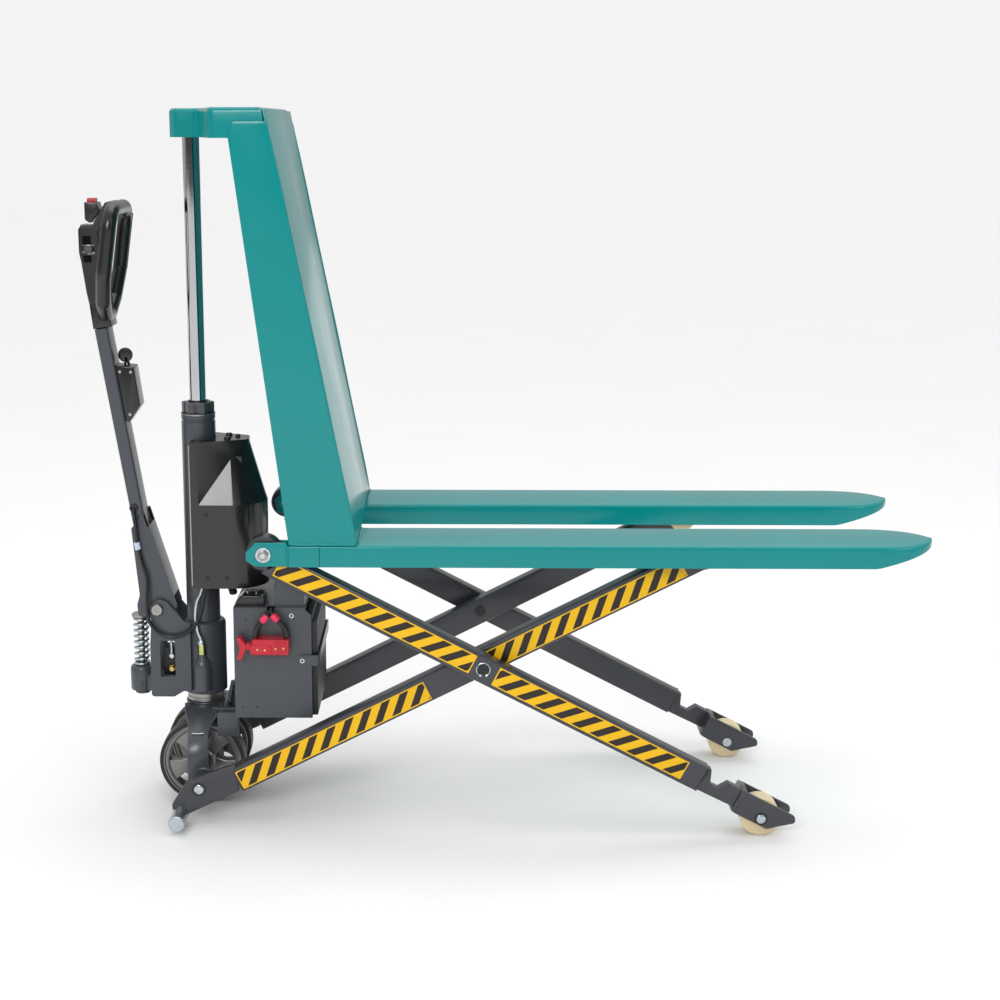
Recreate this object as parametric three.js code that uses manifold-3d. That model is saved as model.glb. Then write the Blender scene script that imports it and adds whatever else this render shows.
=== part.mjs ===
// Electric high-lift scissor pallet truck, millimetres, +Z up, forks along +X.
// Everything is laid out from the steering axis (X 0, Y 0) and the floor (Z 0), and the finished
// group is then moved so that its origin is the centre of its footprint.
import * as THREE from 'three';
import { mergeVertices } from 'three/addons/utils/BufferGeometryUtils.js';
import Module from 'manifold-3d';

const wasm = await Module();
wasm.setup();

// ---------------------------------------------------------------- driving dimensions
const REAR_X = -228;              // back of the tiller head
const TIP_X = 1470;               // fork tips
const GAP = 0.3;                  // between pieces that touch

const PIVOT_A = [10, 77];         // inner leg to chassis, X and Z
const PIVOT_B = [158, 585];       // outer leg to fork frame
const PIVOT_C = [587, 351.5];     // the scissor's middle pin
const AXLE_D = [1146, 40];        // load roller
const AXLE_E = [1022.5, 569.6];   // upper roller, which runs under the fork plate

const FORK_TOP = 605;
const FORK_OUTER = 270;           // half of the overall fork width
const FORK_INNER = 110;
const FORK_REAR = 208;
const FORK_DEPTH = 44;
const WALL = 5;
const PLATE = 4;
const TAPER_X = 1350;             // where a fork starts to narrow

const LEG_HALF = 27;              // half of the leg tube's depth
const LEG_DROP = 1.7;             // the tube's middle lies this far under the line through the pins
const OUTER_SLOPE = 27.36;        // degrees below level, towards the load roller
const INNER_SLOPE = 26.95;        // degrees above level, towards the upper roller
const OUTER_FACE = [220, 258];    // inner and outer side of the outer leg
const INNER_FACE = [168, 206];

const ROLLER_R = 40;
const WHEEL_R = 90;
const WHEEL_FACE = [40, 80];
const TUBE_R = 35;
const ROD_R = 17;
const TUBE_TOP = 822;
const TILLER_PIVOT = [-90, 413];
const TILLER_LEAN = 9;            // degrees back from upright
const PUMP_X = -134;

const SIDES = 16;
const ROUND = 24;
const FINE = 36;

// ---------------------------------------------------------------- materials
const paint = (color, roughness, metalness) => new THREE.MeshStandardMaterial({ color, roughness,
  metalness });
const teal = paint(0x0a9694, 0.25, 0.1);
const chassisGrey = paint(0x464b52, 0.5, 0.2);
const legGrey = paint(0x3c3e44, 0.5, 0.2);
const blackPlastic = paint(0x1d1d1f, 0.5, 0);
const grip = paint(0x232325, 0.7, 0);
const chrome = paint(0xc8ccd0, 0.12, 1);
const steel = paint(0xa8abae, 0.35, 0.9);
const aluminium = paint(0xb5b8ba, 0.4, 0.9);
const tread = paint(0x1a1a1a, 0.8, 0);
const polyurethane = paint(0xd9cba6, 0.5, 0);
const red = paint(0xc81e32, 0.45, 0);
const cableBlack = paint(0x141414, 0.6, 0);

// ---------------------------------------------------------------- solids
function toSolid(geometry) {
  const bare = geometry.clone();
  bare.deleteAttribute('normal');
  bare.deleteAttribute('uv');
  const merged = mergeVertices(bare, 1e-4);
  return new wasm.Manifold(new wasm.Mesh({
    numProp: 3,
    vertProperties: Float32Array.from(merged.attributes.position.array),
    triVerts: Uint32Array.from(merged.index.array),
  }));
}

function toGeometry(solid) {
  const mesh = solid.getMesh();
  const geometry = new THREE.BufferGeometry();
  geometry.setAttribute('position', new THREE.BufferAttribute(Float32Array.from(mesh.vertProperties), 3));
  geometry.setIndex(new THREE.BufferAttribute(Uint32Array.from(mesh.triVerts), 1));
  geometry.computeVertexNormals();
  return geometry;
}

function join(...geometries) {
  return toGeometry(geometries.map(toSolid).reduce((sum, next) => sum.add(next)));
}

function cut(geometry, ...tools) {
  return toGeometry(tools.map(toSolid).reduce((rest, tool) => rest.subtract(tool), toSolid(geometry)));
}

function common(first, second) {
  return toGeometry(toSolid(first).intersect(toSolid(second)));
}

function box(x, y, z) {
  const geometry = new THREE.BoxGeometry(x[1] - x[0], y[1] - y[0], z[1] - z[0]);
  return geometry.translate((x[0] + x[1]) / 2, (y[0] + y[1]) / 2, (z[0] + z[1]) / 2);
}

// A round bar along Y through (x, z).
function barY(x, z, radius, y, sides = ROUND) {
  const geometry = new THREE.CylinderGeometry(radius, radius, y[1] - y[0], sides);
  return geometry.translate(x, (y[0] + y[1]) / 2, z);
}

// A round bar along Z through (x, y).
function barZ(x, y, radius, z, sides = ROUND) {
  const geometry = new THREE.CylinderGeometry(radius, radius, z[1] - z[0], sides);
  return geometry.rotateX(Math.PI / 2).translate(x, y, (z[0] + z[1]) / 2);
}

function outline(points) {
  return new THREE.Shape(points.map(([a, b]) => new THREE.Vector2(a, b)));
}

function plainExtrude(shape, depth) {
  return new THREE.ExtrudeGeometry(shape, { depth, bevelEnabled: false, curveSegments: 8 });
}

// An outline in X and Z, made solid between two Y values.
function slabY(points, y) {
  return plainExtrude(outline(points), y[1] - y[0]).rotateX(Math.PI / 2).translate(0, y[1], 0);
}

// An outline in X and Y, made solid between two Z values.
function slabZ(points, z) {
  return plainExtrude(outline(points), z[1] - z[0]).translate(0, 0, z[0]);
}

// An outline in Y and Z, made solid between two X values.
function slabX(points, x) {
  const turn = new THREE.Matrix4().set(0, 0, 1, x[0], 1, 0, 0, 0, 0, 1, 0, 0, 0, 0, 0, 1);
  return plainExtrude(outline(points), x[1] - x[0]).applyMatrix4(turn);
}

// A profile of radius and height, turned about the Z axis.
function turned(profile, sides = FINE) {
  const points = profile.map(([radius, height]) => new THREE.Vector2(radius, height));
  return new THREE.LatheGeometry(points, sides).rotateX(Math.PI / 2);
}

// A ring about a Y axis through (x, z).
function ringY(x, z, inner, outer, y, sides = FINE) {
  const profile = [[inner, -y[1]], [outer, -y[1]], [outer, -y[0]], [inner, -y[0]], [inner, -y[1]]];
  return turned(profile, sides).rotateX(Math.PI / 2).translate(x, 0, z);
}

// A ring about the Z axis through (x, y).
function ringZ(x, y, inner, outer, z, sides = FINE) {
  return turned([[inner, z[0]], [outer, z[0]], [outer, z[1]], [inner, z[1]], [inner, z[0]]], sides)
    .translate(x, y, 0);
}

// A flexible tube of the given radius through the points of its route.
function hose(points, radius, steps) {
  const route = new THREE.CatmullRomCurve3(points.map((point) => new THREE.Vector3(...point)));
  const section = new THREE.Shape();
  section.absarc(0, 0, radius, 0, 2 * Math.PI);
  return new THREE.ExtrudeGeometry(section, { steps, extrudePath: route, curveSegments: 4 });
}

// The same piece on the other side of the truck.
function mirrored(geometry) {
  const flipped = geometry.clone().scale(1, -1, 1);
  const source = flipped.index ? flipped.toNonIndexed() : flipped;
  const position = source.attributes.position;
  const corners = [];
  for (let i = 0; i < position.count; i += 3) {
    for (const k of [i, i + 2, i + 1]) {
      corners.push(position.getX(k), position.getY(k), position.getZ(k));
    }
  }
  const geometryOut = new THREE.BufferGeometry();
  geometryOut.setAttribute('position', new THREE.Float32BufferAttribute(corners, 3));
  return mergeVertices(geometryOut, 1e-4);
}

const radians = (degrees) => degrees * Math.PI / 180;

// A point of a leg, given along it (u) and across it (v) from the middle pin.
function legPoint(slope, [u, v]) {
  const angle = radians(slope);
  return [
    PIVOT_C[0] + u * Math.cos(angle) - v * Math.sin(angle),
    PIVOT_C[1] + u * Math.sin(angle) + v * Math.cos(angle),
  ];
}

const legSlab = (slope, points, y) => slabY(points.map((point) => legPoint(slope, point)), y);

// Keeps the outline's corners and rounds the ones with a third value, the corner's radius.
function rounded(points, steps = 4) {
  const result = [];
  points.forEach(([x, y, radius], i) => {
    if (!radius) {
      result.push([x, y]);
      return;
    }
    const before = points[(i + points.length - 1) % points.length];
    const after = points[(i + 1) % points.length];
    const here = new THREE.Vector2(x, y);
    const back = new THREE.Vector2(before[0], before[1]).sub(here).normalize();
    const ahead = new THREE.Vector2(after[0], after[1]).sub(here).normalize();
    const half = Math.acos(THREE.MathUtils.clamp(back.dot(ahead), -1, 1)) / 2;
    const reach = radius / Math.tan(half);
    const start = here.clone().addScaledVector(back, reach);
    const end = here.clone().addScaledVector(ahead, reach);
    const curve = new THREE.QuadraticBezierCurve(start, here, end);
    curve.getPoints(steps).forEach((point) => result.push([point.x, point.y]));
  });
  return result;
}

const truck = new THREE.Group();

function add(name, geometry, material) {
  const mesh = new THREE.Mesh(geometry, material.clone());
  mesh.name = name;
  truck.add(mesh);
}

// Pieces are drawn on the left side (Y below 0); the right one is its mirror image.
function addPair(name, geometry, material) {
  add(`${name}_left`, geometry, material);
  add(`${name}_right`, mirrored(geometry), material);
}

// ---------------------------------------------------------------- chassis
function yoke() {
  const strip = [126, 138];
  const half = [
    [strip[1], 52], [strip[1], 156], [98, 194], [52, 205], [-52, 205], [-98, 194], [-strip[1], 156],
    [-strip[1], 52], [-strip[0], 52], [-strip[0], 150], [-88, 184], [88, 184], [strip[0], 150],
    [strip[0], 52],
  ];
  const bow = slabX(half, [-22, 20]);
  const ring = barZ(0, 0, 41, [184, 206], FINE);
  const tongue = box([20, 76], [-60, 60], [190, 202]);
  const bosses = [-1, 1].map((side) => barY(...PIVOT_A, 22, side > 0 ? strip : [-strip[1], -strip[0]]));
  const body = join(bow, ring, tongue, ...bosses);
  return cut(body, barZ(0, 0, 26, [180, 210], FINE), barY(...PIVOT_A, 10.5, [-150, 150]));
}

function batteryBox() {
  const side = [[79, 205], [238, 205], [238, 424], [225, 437], [79, 437]];
  const shell = cut(slabY(side, [-130, 130]), box([82, 250], [-127, 127], [208, 450]),
    box([149, 163], [-140, -120], [426, 450]));
  const hangers = [-1, 1].map((side) => slabY([[52, 202 + GAP], [81, 202 + GAP], [81, 262], [62, 262],
    [52, 218]],
    side > 0 ? [54, 60] : [-60, -54]));
  return join(shell, ...hangers);
}

function batteryCover() {
  const lid = box([79, 226], [-130, 130], [437 + GAP, 440]);
  const raised = slabY(rounded([[161, 438], [224, 438], [224, 468, 6], [212, 484, 6], [161, 484, 4]]),
    [-118, 118]);
  const hollow = slabY([[165, 430], [220, 430], [220, 466], [210, 480], [165, 480]], [-114, 114]);
  const cableHole = box([148, 164], [-136, -110], [430, 450]);
  return cut(join(lid, raised), hollow, cableHole);
}

function battery() {
  return cut(box([86, 249], [-121, 121], [209, 420]),
    box([80, 96], [-130, 130], [408, 430]), box([239, 260], [-130, 130], [408, 430]));
}

// A flat steel strap round the open front of the box, bolted to its two sides.
function strap() {
  const reach = [212, 254];
  const z = [318, 341];
  return cut(box(reach, [-134, 134], z), box([200, reach[1] - 3], [-130 - GAP, 130 + GAP], [300, 350]));
}

function connector() {
  const body = box([116, 194], [-166, -130 - GAP], [349, 383]);
  const bridge = box([106, 120], [-158, -140], [359, 371]);
  const handle = slabY(rounded([[88, 384], [97, 384, 3], [107, 371], [107, 359], [97, 338, 3],
    [88, 338], [94, 361, 4]]),
    [-160, -138]);
  return join(body, bridge, handle);
}

function batteryLeads() {
  const entry = [[156, -130, 434], [156, -118, 431]];
  const leftLoop = hose([[126, -149, 384.5], [126, -149.5, 392], [133, -151, 410], [147, -149, 425],
    [155, -141, 433],
    ...entry], 6, 16);
  const rightLoop = hose([[188, -149, 384.5], [188, -149.5, 392], [181, -151, 411], [166, -149, 425],
    [157, -141, 433], ...entry], 6, 16);
  return join(leftLoop, rightLoop);
}

function pivotPin() {
  return join(barY(...PIVOT_A, 10, [-208, -122]), barY(...PIVOT_A, 15, [-125.7, -122]));
}

add('yoke', yoke(), chassisGrey);
add('thrust_bearing', ringZ(0, 0, 26, 38, [206 + GAP, 225.5]), steel);
addPair('chassis_pivot_pin', pivotPin(), steel);
add('battery_box', batteryBox(), chassisGrey);
add('battery_cover', batteryCover(), chassisGrey);
add('battery', battery(), blackPlastic);
add('relay', slabY(rounded([[84, 440 + GAP], [141, 440 + GAP], [141, 460, 3], [90, 460, 3]]),
  [-112, -54]), blackPlastic);
add('battery_strap', strap(), legGrey);
add('battery_connector', connector(), red);
add('battery_leads', batteryLeads(), cableBlack);

// ---------------------------------------------------------------- steering unit
function cylinderTube() {
  const spindle = 25;
  const bore = 18.5;
  return turned([[0, 60], [spindle, 60], [spindle, 300], [TUBE_R, 300], [TUBE_R, TUBE_TOP],
    [bore, TUBE_TOP],
    [bore, 66], [0, 66]]);
}

function gland() {
  const nut = barZ(0, 0, 33.5, [TUBE_TOP + GAP, TUBE_TOP + 23], 6);
  return cut(nut, barZ(0, 0, 18.5, [TUBE_TOP - 5, TUBE_TOP + 30], FINE));
}

function steerAxle() {
  const block = join(barZ(0, 0, 35, [62, 118], FINE), barY(0, WHEEL_R, 12, [-86, 86]));
  return cut(block, barZ(0, 0, 25 + GAP, [50, 130], FINE));
}

function pumpHousing() {
  const collar = barZ(0, 0, 46, [226, 381], FINE);
  const outlet = barZ(2, -58, 10, [246, 318], SIDES);
  const outletRoot = box([-12, 16], [-58, -30], [246, 312]);
  const cylinder = barZ(PUMP_X, 0, 25, [218, 279]);
  const web = box([PUMP_X, -20], [-22, 22], [226, 262]);
  const ear = rounded([[-111, 413, 14], [-104, 390], [-108, 330], [-108, 222, 8], [-60, 222],
    [-40, 234], [4, 234],
    [4, 378], [-34, 386], [-68, 428, 8], [-90, 436, 14]]);
  const window = [[-86, 266], [-56, 266], [-56, 344], [-86, 344]];
  const ears = [-1, 1].map((side) => cut(slabY(ear, side > 0 ? [40, 48] : [-48, -40]),
    slabY(window, [-60, 60])));
  const feet = [-1, 1].map((side) => box([-104, -88], side > 0 ? [16, 44] : [-44, -16], [226, 256]));
  const body = join(collar, outlet, outletRoot, cylinder, web, ...ears, ...feet);
  return cut(body, barZ(0, 0, 25 + GAP, [200, 300 - GAP], FINE), barZ(0, 0, TUBE_R + GAP,
    [300 - GAP, 400], FINE),
    barZ(PUMP_X, 0, 8, [224, 300], SIDES), barY(...TILLER_PIVOT, 8.4, [-60, 60]));
}

function powerUnit() {
  const motor = barZ(86, 0, 44, [467, 632]);
  const block = box([46, 92], [-38, 38], [620, 736]);
  const saddle = cut(box([30, 60], [-30, 30], [486, 730]), barZ(0, 0, TUBE_R + GAP, [400, 800], FINE));
  return join(motor, block, saddle);
}

// The moulded cover: straight sides, a half-round nose, and a nose that slopes back above mid height.
function coverSolid(inset) {
  const radius = 70 - inset;
  const nose = [];
  for (let i = 0; i <= 16; i += 1) {
    const angle = -Math.PI / 2 + (i / 16) * Math.PI;
    nose.push([70 + radius * Math.cos(angle), radius * Math.sin(angle)]);
  }
  const plan = slabZ([[-10, -radius], ...nose, [-10, radius]], [464 - (inset ? 10 : 0), 770 - inset]);
  const profile = [[-20, 440], [150, 440], [150, 636], [140 - inset, 640], [100 - inset, 780], [-20, 780]];
  return common(plan, slabY(profile, [-90, 90]));
}

function cover() {
  const inner = join(coverSolid(3), box([-20, -6], [-67, 67], [450, 767]));
  return cut(coverSolid(0), inner, barZ(0, 0, TUBE_R + 1.2, [440, 800], FINE));
}

function pressurePipe() {
  const nut = barZ(2, -58, 9, [318 + GAP, 342], 6);
  const pipe = hose([[2, -58, 336], [1, -58, 352], [-6, -57, 372], [-9, -56, 400], [-6, -55, 430],
    [3, -55, 450],
    [8, -55, 466], [12, -54, 480], [24, -50, 492], [38, -47, 496], [46, -46, 497]], 4, 32);
  return join(nut, pipe);
}

function valveBlock() {
  return join(box([-84, -58], [-20, 20], [262 + GAP, 322]), barY(-66, 278, 6, [-34, -18], SIDES));
}

function controlCable() {
  return hose([[-135, -29.5, 624], [-133, -41, 612], [-130, -44, 589], [-127, -44, 547], [-119, -45, 511],
    [-109, -50, 477], [-110, -55, 439], [-110, -56, 411], [-104, -57, 385], [-88, -57, 366],
    [-61, -57, 356],
    [-32, -60, 364], [-8, -66, 386], [4, -67, 412], [10, -66, 440], [14, -64.5, 460]], 4, 76);
}

add('cylinder_tube', cylinderTube(), chassisGrey);
add('gland_nut', gland(), chassisGrey);
add('pump_housing', pumpHousing(), chassisGrey);
add('steer_axle', steerAxle(), chassisGrey);
add('power_unit', powerUnit(), blackPlastic);
add('power_cover', cover(), blackPlastic);
add('pressure_pipe', pressurePipe(), steel);
add('valve_block', valveBlock(), blackPlastic);
add('tiller_pin', join(barY(...TILLER_PIVOT, 8, [-52, 52]), barY(...TILLER_PIVOT, 12,
  [-56, -48 - GAP])), steel);
add('control_cable', controlCable(), cableBlack);

// ---------------------------------------------------------------- steering wheels
function wheelRim() {
  const rim = ringY(0, WHEEL_R, 70, 82, [-WHEEL_FACE[1], -WHEEL_FACE[0]], 40);
  const hub = ringY(0, WHEEL_R, 12.6, 27, [-WHEEL_FACE[1], -WHEEL_FACE[0]], 24);
  const spokes = [0, 1, 2, 3, 4].map((i) => box([22, 74], [-72, -48], [-9, 9])
    .rotateY(radians(72 * i + 18)).translate(0, 0, WHEEL_R));
  const web = ringY(0, WHEEL_R, 20, 34, [-70, -50], 24);
  return cut(join(rim, hub, web, ...spokes), barY(0, WHEEL_R, 12.6, [-100, 0], ROUND));
}

addPair('steer_wheel_rim', wheelRim(), aluminium);
addPair('steer_wheel_tread', ringY(0, WHEEL_R, 82 + GAP, WHEEL_R,
  [-WHEEL_FACE[1], -WHEEL_FACE[0]], 40), tread);

// ---------------------------------------------------------------- tiller
// Moves a shape drawn upright about the tiller pivot into its leaning place.
function leaned(geometry) {
  return geometry.rotateY(radians(-TILLER_LEAN)).translate(TILLER_PIVOT[0], 0, TILLER_PIVOT[1]);
}

function tillerBracket() {
  const plate = rounded([[-141, 583, 4], [-112, 617], [-50, 414, 6], [-64, 396, 6], [-90, 391, 8],
    [-132, 394, 8],
    [-134, 420], [-128, 440]]);
  const plates = [-1, 1].map((side) => slabY(plate, side > 0 ? [30, 36] : [-36, -30]));
  const flange = slabY([[-112, 617], [-72, 486], [-77, 484.5], [-117, 615.5]], [-36, 36]);
  const follower = join(barY(-120, 408, 14, [-26, 26]), barY(-120, 408, 5, [-32, 32], SIDES));
  const tubeSeat = leaned(box([-20 - GAP, 7 + GAP], [-30, 30], [178 - GAP, 240]));
  return cut(join(...plates, flange, follower), tubeSeat, barY(...TILLER_PIVOT, 8.5, [-60, 60]));
}

function tillerTube() {
  const x = [-20, 7];
  const wall = 3;
  const outer = box(x, [-29.7, 29.7], [178, 592]);
  const inner = box([x[0] + wall, x[1] - wall], [-26.7, 26.7], [170, 600]);
  const tube = leaned(cut(outer, inner));
  return cut(tube, barY(-135, 626, 8, [-40, -20], SIDES));
}

// The closed loop of the handle, drawn in Y (first) and Z, then set nearly upright.
function handle() {
  const loop = rounded([[-30, 0, 10], [-44, 40, 20], [-103, 110, 30], [-103, 262, 45], [103, 262, 45],
    [103, 110, 30],
    [44, 40, 20], [30, 0, 10]], 5);
  const hole = rounded([[-20, 62, 10], [-73, 122, 20], [-73, 232, 24], [73, 232, 24], [73, 122, 20],
    [20, 62, 10]], 5);
  const ringSolid = cut(slabX(loop, [-15, 15]), slabX(hole, [-30, 30]))
    .rotateY(radians(8)).translate(-184, 0, 994);
  const socket = slabY([[-204, 996], [-166, 1002], [-172, 1040], [-208, 1036]], [-34, 34]);
  const spine = rounded([[-204, 1010], [-168, 1010], [-176, 1090], [-186, 1190], [-150, 1240],
    [-156, 1254, 4], [-172, 1250],
    [-200, 1204], [-222, 1206], [REAR_X, 1196], [REAR_X, 1150], [-224, 1130], [-216, 1070]], 3);
  const body = join(ringSolid, socket, slabY(spine, [-28, 28]));
  const leverSlot = box([-221, -196], [-40, 40], [1132, 1180]);
  const tubeEnd = leaned(box([-21, 8], [-30, 30], [560, 593]));
  return cut(body, leverSlot, tubeEnd);
}

function switchHousing() {
  const body = slabY([[-214, 1216], [-206, 1210], [-202, 1210 - GAP], [-184, 1232], [-190, 1250],
    [-214, 1250]], [-24, 24]);
  return cut(body, box([-211, -193], [-12, 12], [1241, 1260]), slabY([[-205, 1204], [-171, 1254],
    [-160, 1240], [-190, 1190]],
    [-30, 30]));
}

function keyBox() {
  const x = [7 + GAP, 44];
  const body = leaned(slabY(rounded([[x[0], 400], [x[0] + 6, 394], [42, 424, 3], [x[1], 505, 3],
    [x[0], 514]]), [-26, 26]));
  return cut(body, leaned(barZ(27, 0, 6.5, [490, 520], SIDES)));
}

function key() {
  const stem = barZ(27, 0, 6, [490 + GAP, 516], SIDES);
  const bow = barY(27, 530, 15, [-2, 2]);
  return leaned(join(stem, bow, box([24, 30], [-2, 2], [512, 524])));
}

add('tiller_bracket', tillerBracket(), chassisGrey);
add('tiller_tube', tillerTube(), chassisGrey);
add('tiller_handle', handle(), grip);
add('switch_housing', switchHousing(), blackPlastic);
add('lift_button', box([-210.5, -193.5], [-11.5, 11.5], [1246, 1258]), red);
add('lowering_lever', box([-217, -199], [-33, 33], [1150, 1162]), chassisGrey);
add('key_box', keyBox(), blackPlastic);
add('key', key(), blackPlastic);

// ---------------------------------------------------------------- hand pump
add('pump_piston', join(barZ(PUMP_X, 0, 7, [270, 388], SIDES), barZ(PUMP_X, 0, 19, [384.5, 392])), steel);
add('pump_spring', ringZ(PUMP_X, 0, 12, 17, [279 + GAP, 384.5 - GAP], ROUND), steel);
add('ram_rod', barZ(0, 0, ROD_R, [588, 1405], FINE), chrome);

// ---------------------------------------------------------------- inner legs
function innerLeg() {
  const y = [-INNER_FACE[1], -INNER_FACE[0]];
  const top = LEG_HALF - LEG_DROP;
  const bottom = -LEG_HALF - LEG_DROP;
  const tube = legSlab(INNER_SLOPE, [[-560, bottom], [487, bottom], [487, top], [-560, top]], y);
  const upperEnd = barY(...AXLE_E, 28, y, FINE);
  const bracket = slabY(rounded([[86, 132], [-16, 92, 6], [-46, 44, 4], [-44, 22, 8], [-30, 8, 8],
    [-12, 24, 4], [92, 74]]),
    [y[0], y[0] + 14]);
  const boss = barY(...PIVOT_A, 20, [y[0] + 6, -141]);
  const stub = join(barY(...AXLE_E, 8, [-172, -128], SIDES), barY(...AXLE_E, 12, [-132, -127], SIDES));
  return cut(join(tube, upperEnd, bracket, boss, stub), barY(...PIVOT_A, 10.5, [-230, -100]),
    barY(...PIVOT_C, 12.3, [-230, -150]), barY(-29, 25, 16.5 + GAP, [-300, -190 - 6]));
}

addPair('inner_leg', innerLeg(), legGrey);
addPair('stabiliser_foot', barY(-29, 25, 16.5, [-266, -196 - GAP]), steel);
addPair('scissor_pin', barY(...PIVOT_C, 12, [-259.5, -166]), steel);
addPair('fork_roller', ringY(...AXLE_E, 8.6, 28, [-164, -134], ROUND), polyurethane);

// ---------------------------------------------------------------- outer legs
function outerLeg() {
  const y = [-OUTER_FACE[1], -OUTER_FACE[0]];
  const top = LEG_HALF - LEG_DROP;
  const bottom = -LEG_HALF - LEG_DROP;
  const axle = 639.6;
  const drop = -19.7;
  const tube = legSlab(-OUTER_SLOPE, rounded([[-476, bottom, 14], [axle - 144, bottom],
    [axle - 144, top], [-470, top]]), y);
  const boss = barY(...PIVOT_B, 34, y);
  const neck = legSlab(-OUTER_SLOPE, rounded([[axle - 160, bottom + 2], [axle - 60, drop - 5],
    [axle - 60, drop + 34],
    [axle - 92, drop + 34, 6], [axle - 104, drop + 15, 6], [axle - 124, drop + 15, 6],
    [axle - 136, top - 2],
    [axle - 160, top - 2]]), [-252, -226]);
  const web = legSlab(-OUTER_SLOPE, [[axle - 62, drop - 12], [axle - 55, drop - 14], [axle - 49, drop + 36],
    [axle - 62, drop + 35]], [-256, -192]);
  const side = rounded([[axle - 55, drop - 14], [axle + 20, drop - 14, 8], [axle + 66, drop + 24, 8],
    [axle + 58, drop + 36, 8], [axle - 51, drop + 36]]);
  const sides = [[-256, -249], [-199, -192]].map((range) => legSlab(-OUTER_SLOPE, side, range));
  return cut(join(tube, boss, neck, web, ...sides), barY(...PIVOT_B, 10.8, [-300, -200]),
    barY(...PIVOT_C, 12.6, [-300, -200]), barY(...AXLE_D, 10.3, [-300, -150]));
}

addPair('outer_leg', outerLeg(), legGrey);
addPair('load_roller_axle', barY(...AXLE_D, 10, [-258.5, -190]), steel);
addPair('load_roller', ringY(...AXLE_D, 10.6, ROLLER_R, [-246, -202], FINE), polyurethane);

// ---------------------------------------------------------------- fork frame
// Plan of one fork, left side, shrunk by the inset.
function forkPlan(inset, rear) {
  const middle = (FORK_OUTER + FORK_INNER) / 2;
  const half = (FORK_OUTER - FORK_INNER) / 2 - inset;
  const nose = 42 - inset;
  const tip = TIP_X - inset;
  const arc = [];
  for (let i = 0; i <= 8; i += 1) {
    const angle = -Math.PI / 2 + (i / 8) * Math.PI;
    arc.push([tip - 26 + 26 * Math.cos(angle), -middle + nose * Math.sin(angle)]);
  }
  return [[rear, -middle - half], [TAPER_X, -middle - half], ...arc, [TAPER_X, -middle + half],
    [rear, -middle + half]];
}

function fork() {
  const low = FORK_TOP - FORK_DEPTH;
  const blank = slabZ(forkPlan(0, FORK_REAR), [low, FORK_TOP]);
  const cavity = slabZ(forkPlan(WALL, FORK_REAR - 20), [low - 10, FORK_TOP - PLATE]);
  const underside = slabY([[TAPER_X, low - 20], [TIP_X + 20, low - 20], [TIP_X + 20, FORK_TOP - 12],
    [TIP_X - 4, FORK_TOP - 14],
    [TAPER_X, low]], [-FORK_OUTER - 10, 0]);
  const channel = cut(blank, cavity, underside);
  const outerLug = slabY(rounded([[124, 573, 3], [124, 590, 3], [142, 609, 3], [203, 609, 3],
    [206, 600], [240, 600],
    [240, 562], [142, 562, 3]]), [-FORK_OUTER, -FORK_OUTER + 8]);
  const innerLug = slabY([[138, 566], [134, 592], [146, 603], [300, 603], [300, 590], [210, 562],
    [146, 562]], [-216, -210]);
  const batteryNotch = box([FORK_REAR - 10, 267], [-137, 0], [low - 10, FORK_TOP + 10]);
  return cut(join(channel, outerLug, innerLug), batteryNotch, barY(...PIVOT_B, 10.4, [-300, -200]));
}

function mastSide() {
  const plate = rounded([[FORK_REAR, FORK_TOP + GAP], [341, FORK_TOP + GAP], [181, 1409, 6],
    [116, 1409, 10], [108, 1380]]);
  return slabY(plate, [-FORK_OUTER, -FORK_OUTER + 6]);
}

function backrest() {
  return slabY([[335.6, FORK_TOP + GAP], [340.8, FORK_TOP + GAP], [176.5, 1430], [171.3, 1430]],
    [-263.7, 263.7]);
}

// The crosshead is an upside-down pan: a narrow nose over the lifting rod,
// and shoulders on the side plates.
function crosshead() {
  const half = (inset) => [[170 - inset, 268 - inset, 4], [80, 268 - inset, 4],
    [70 + inset / 2, 260 - inset, 6],
    [22 + inset / 2, 46 - inset, 12], [-25, 42 - inset, 8], [-38 + inset, 24 - inset, 8]];
  const plan = (inset) => rounded([...half(inset), ...half(inset).reverse().map(([x, y, r]) => [x, -y,
    r])]);
  const blank = slabZ(plan(0), [1378, 1434]);
  const hollow = slabZ(plan(WALL), [1370, 1429]);
  const seats = [-1, 1].map((side) => box([88, 190], side > 0 ? [260, 280] : [-280, -260],
    [1360, 1409 + GAP]));
  const front = slabY([[190, 1360], [190, 1445], [168.5, 1445], [181.5, 1360]], [-280, 280]);
  return cut(blank, hollow, ...seats, front);
}

function pivotBolt() {
  const head = new THREE.CylinderGeometry(16, 16, 10.7, 6).translate(PIVOT_B[0], -275.65, PIVOT_B[1]);
  return join(barY(...PIVOT_B, 10, [-279, -208.5]), head);
}

addPair('fork', fork(), teal);
addPair('mast_side', mastSide(), teal);
add('backrest', backrest(), teal);
add('crosshead', crosshead(), teal);
addPair('lift_pivot_bolt', pivotBolt(), steel);

truck.position.x = -(REAR_X + TIP_X) / 2;

export default truck;
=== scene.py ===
# Looks for the electric high-lift pallet truck. Sizes in the part functions are millimetres from the
# steering axis and the floor, as in the CAD source; at() turns them into the row's metres.
import math

import bmesh
import bpy
from mathutils import Matrix, Vector


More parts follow.
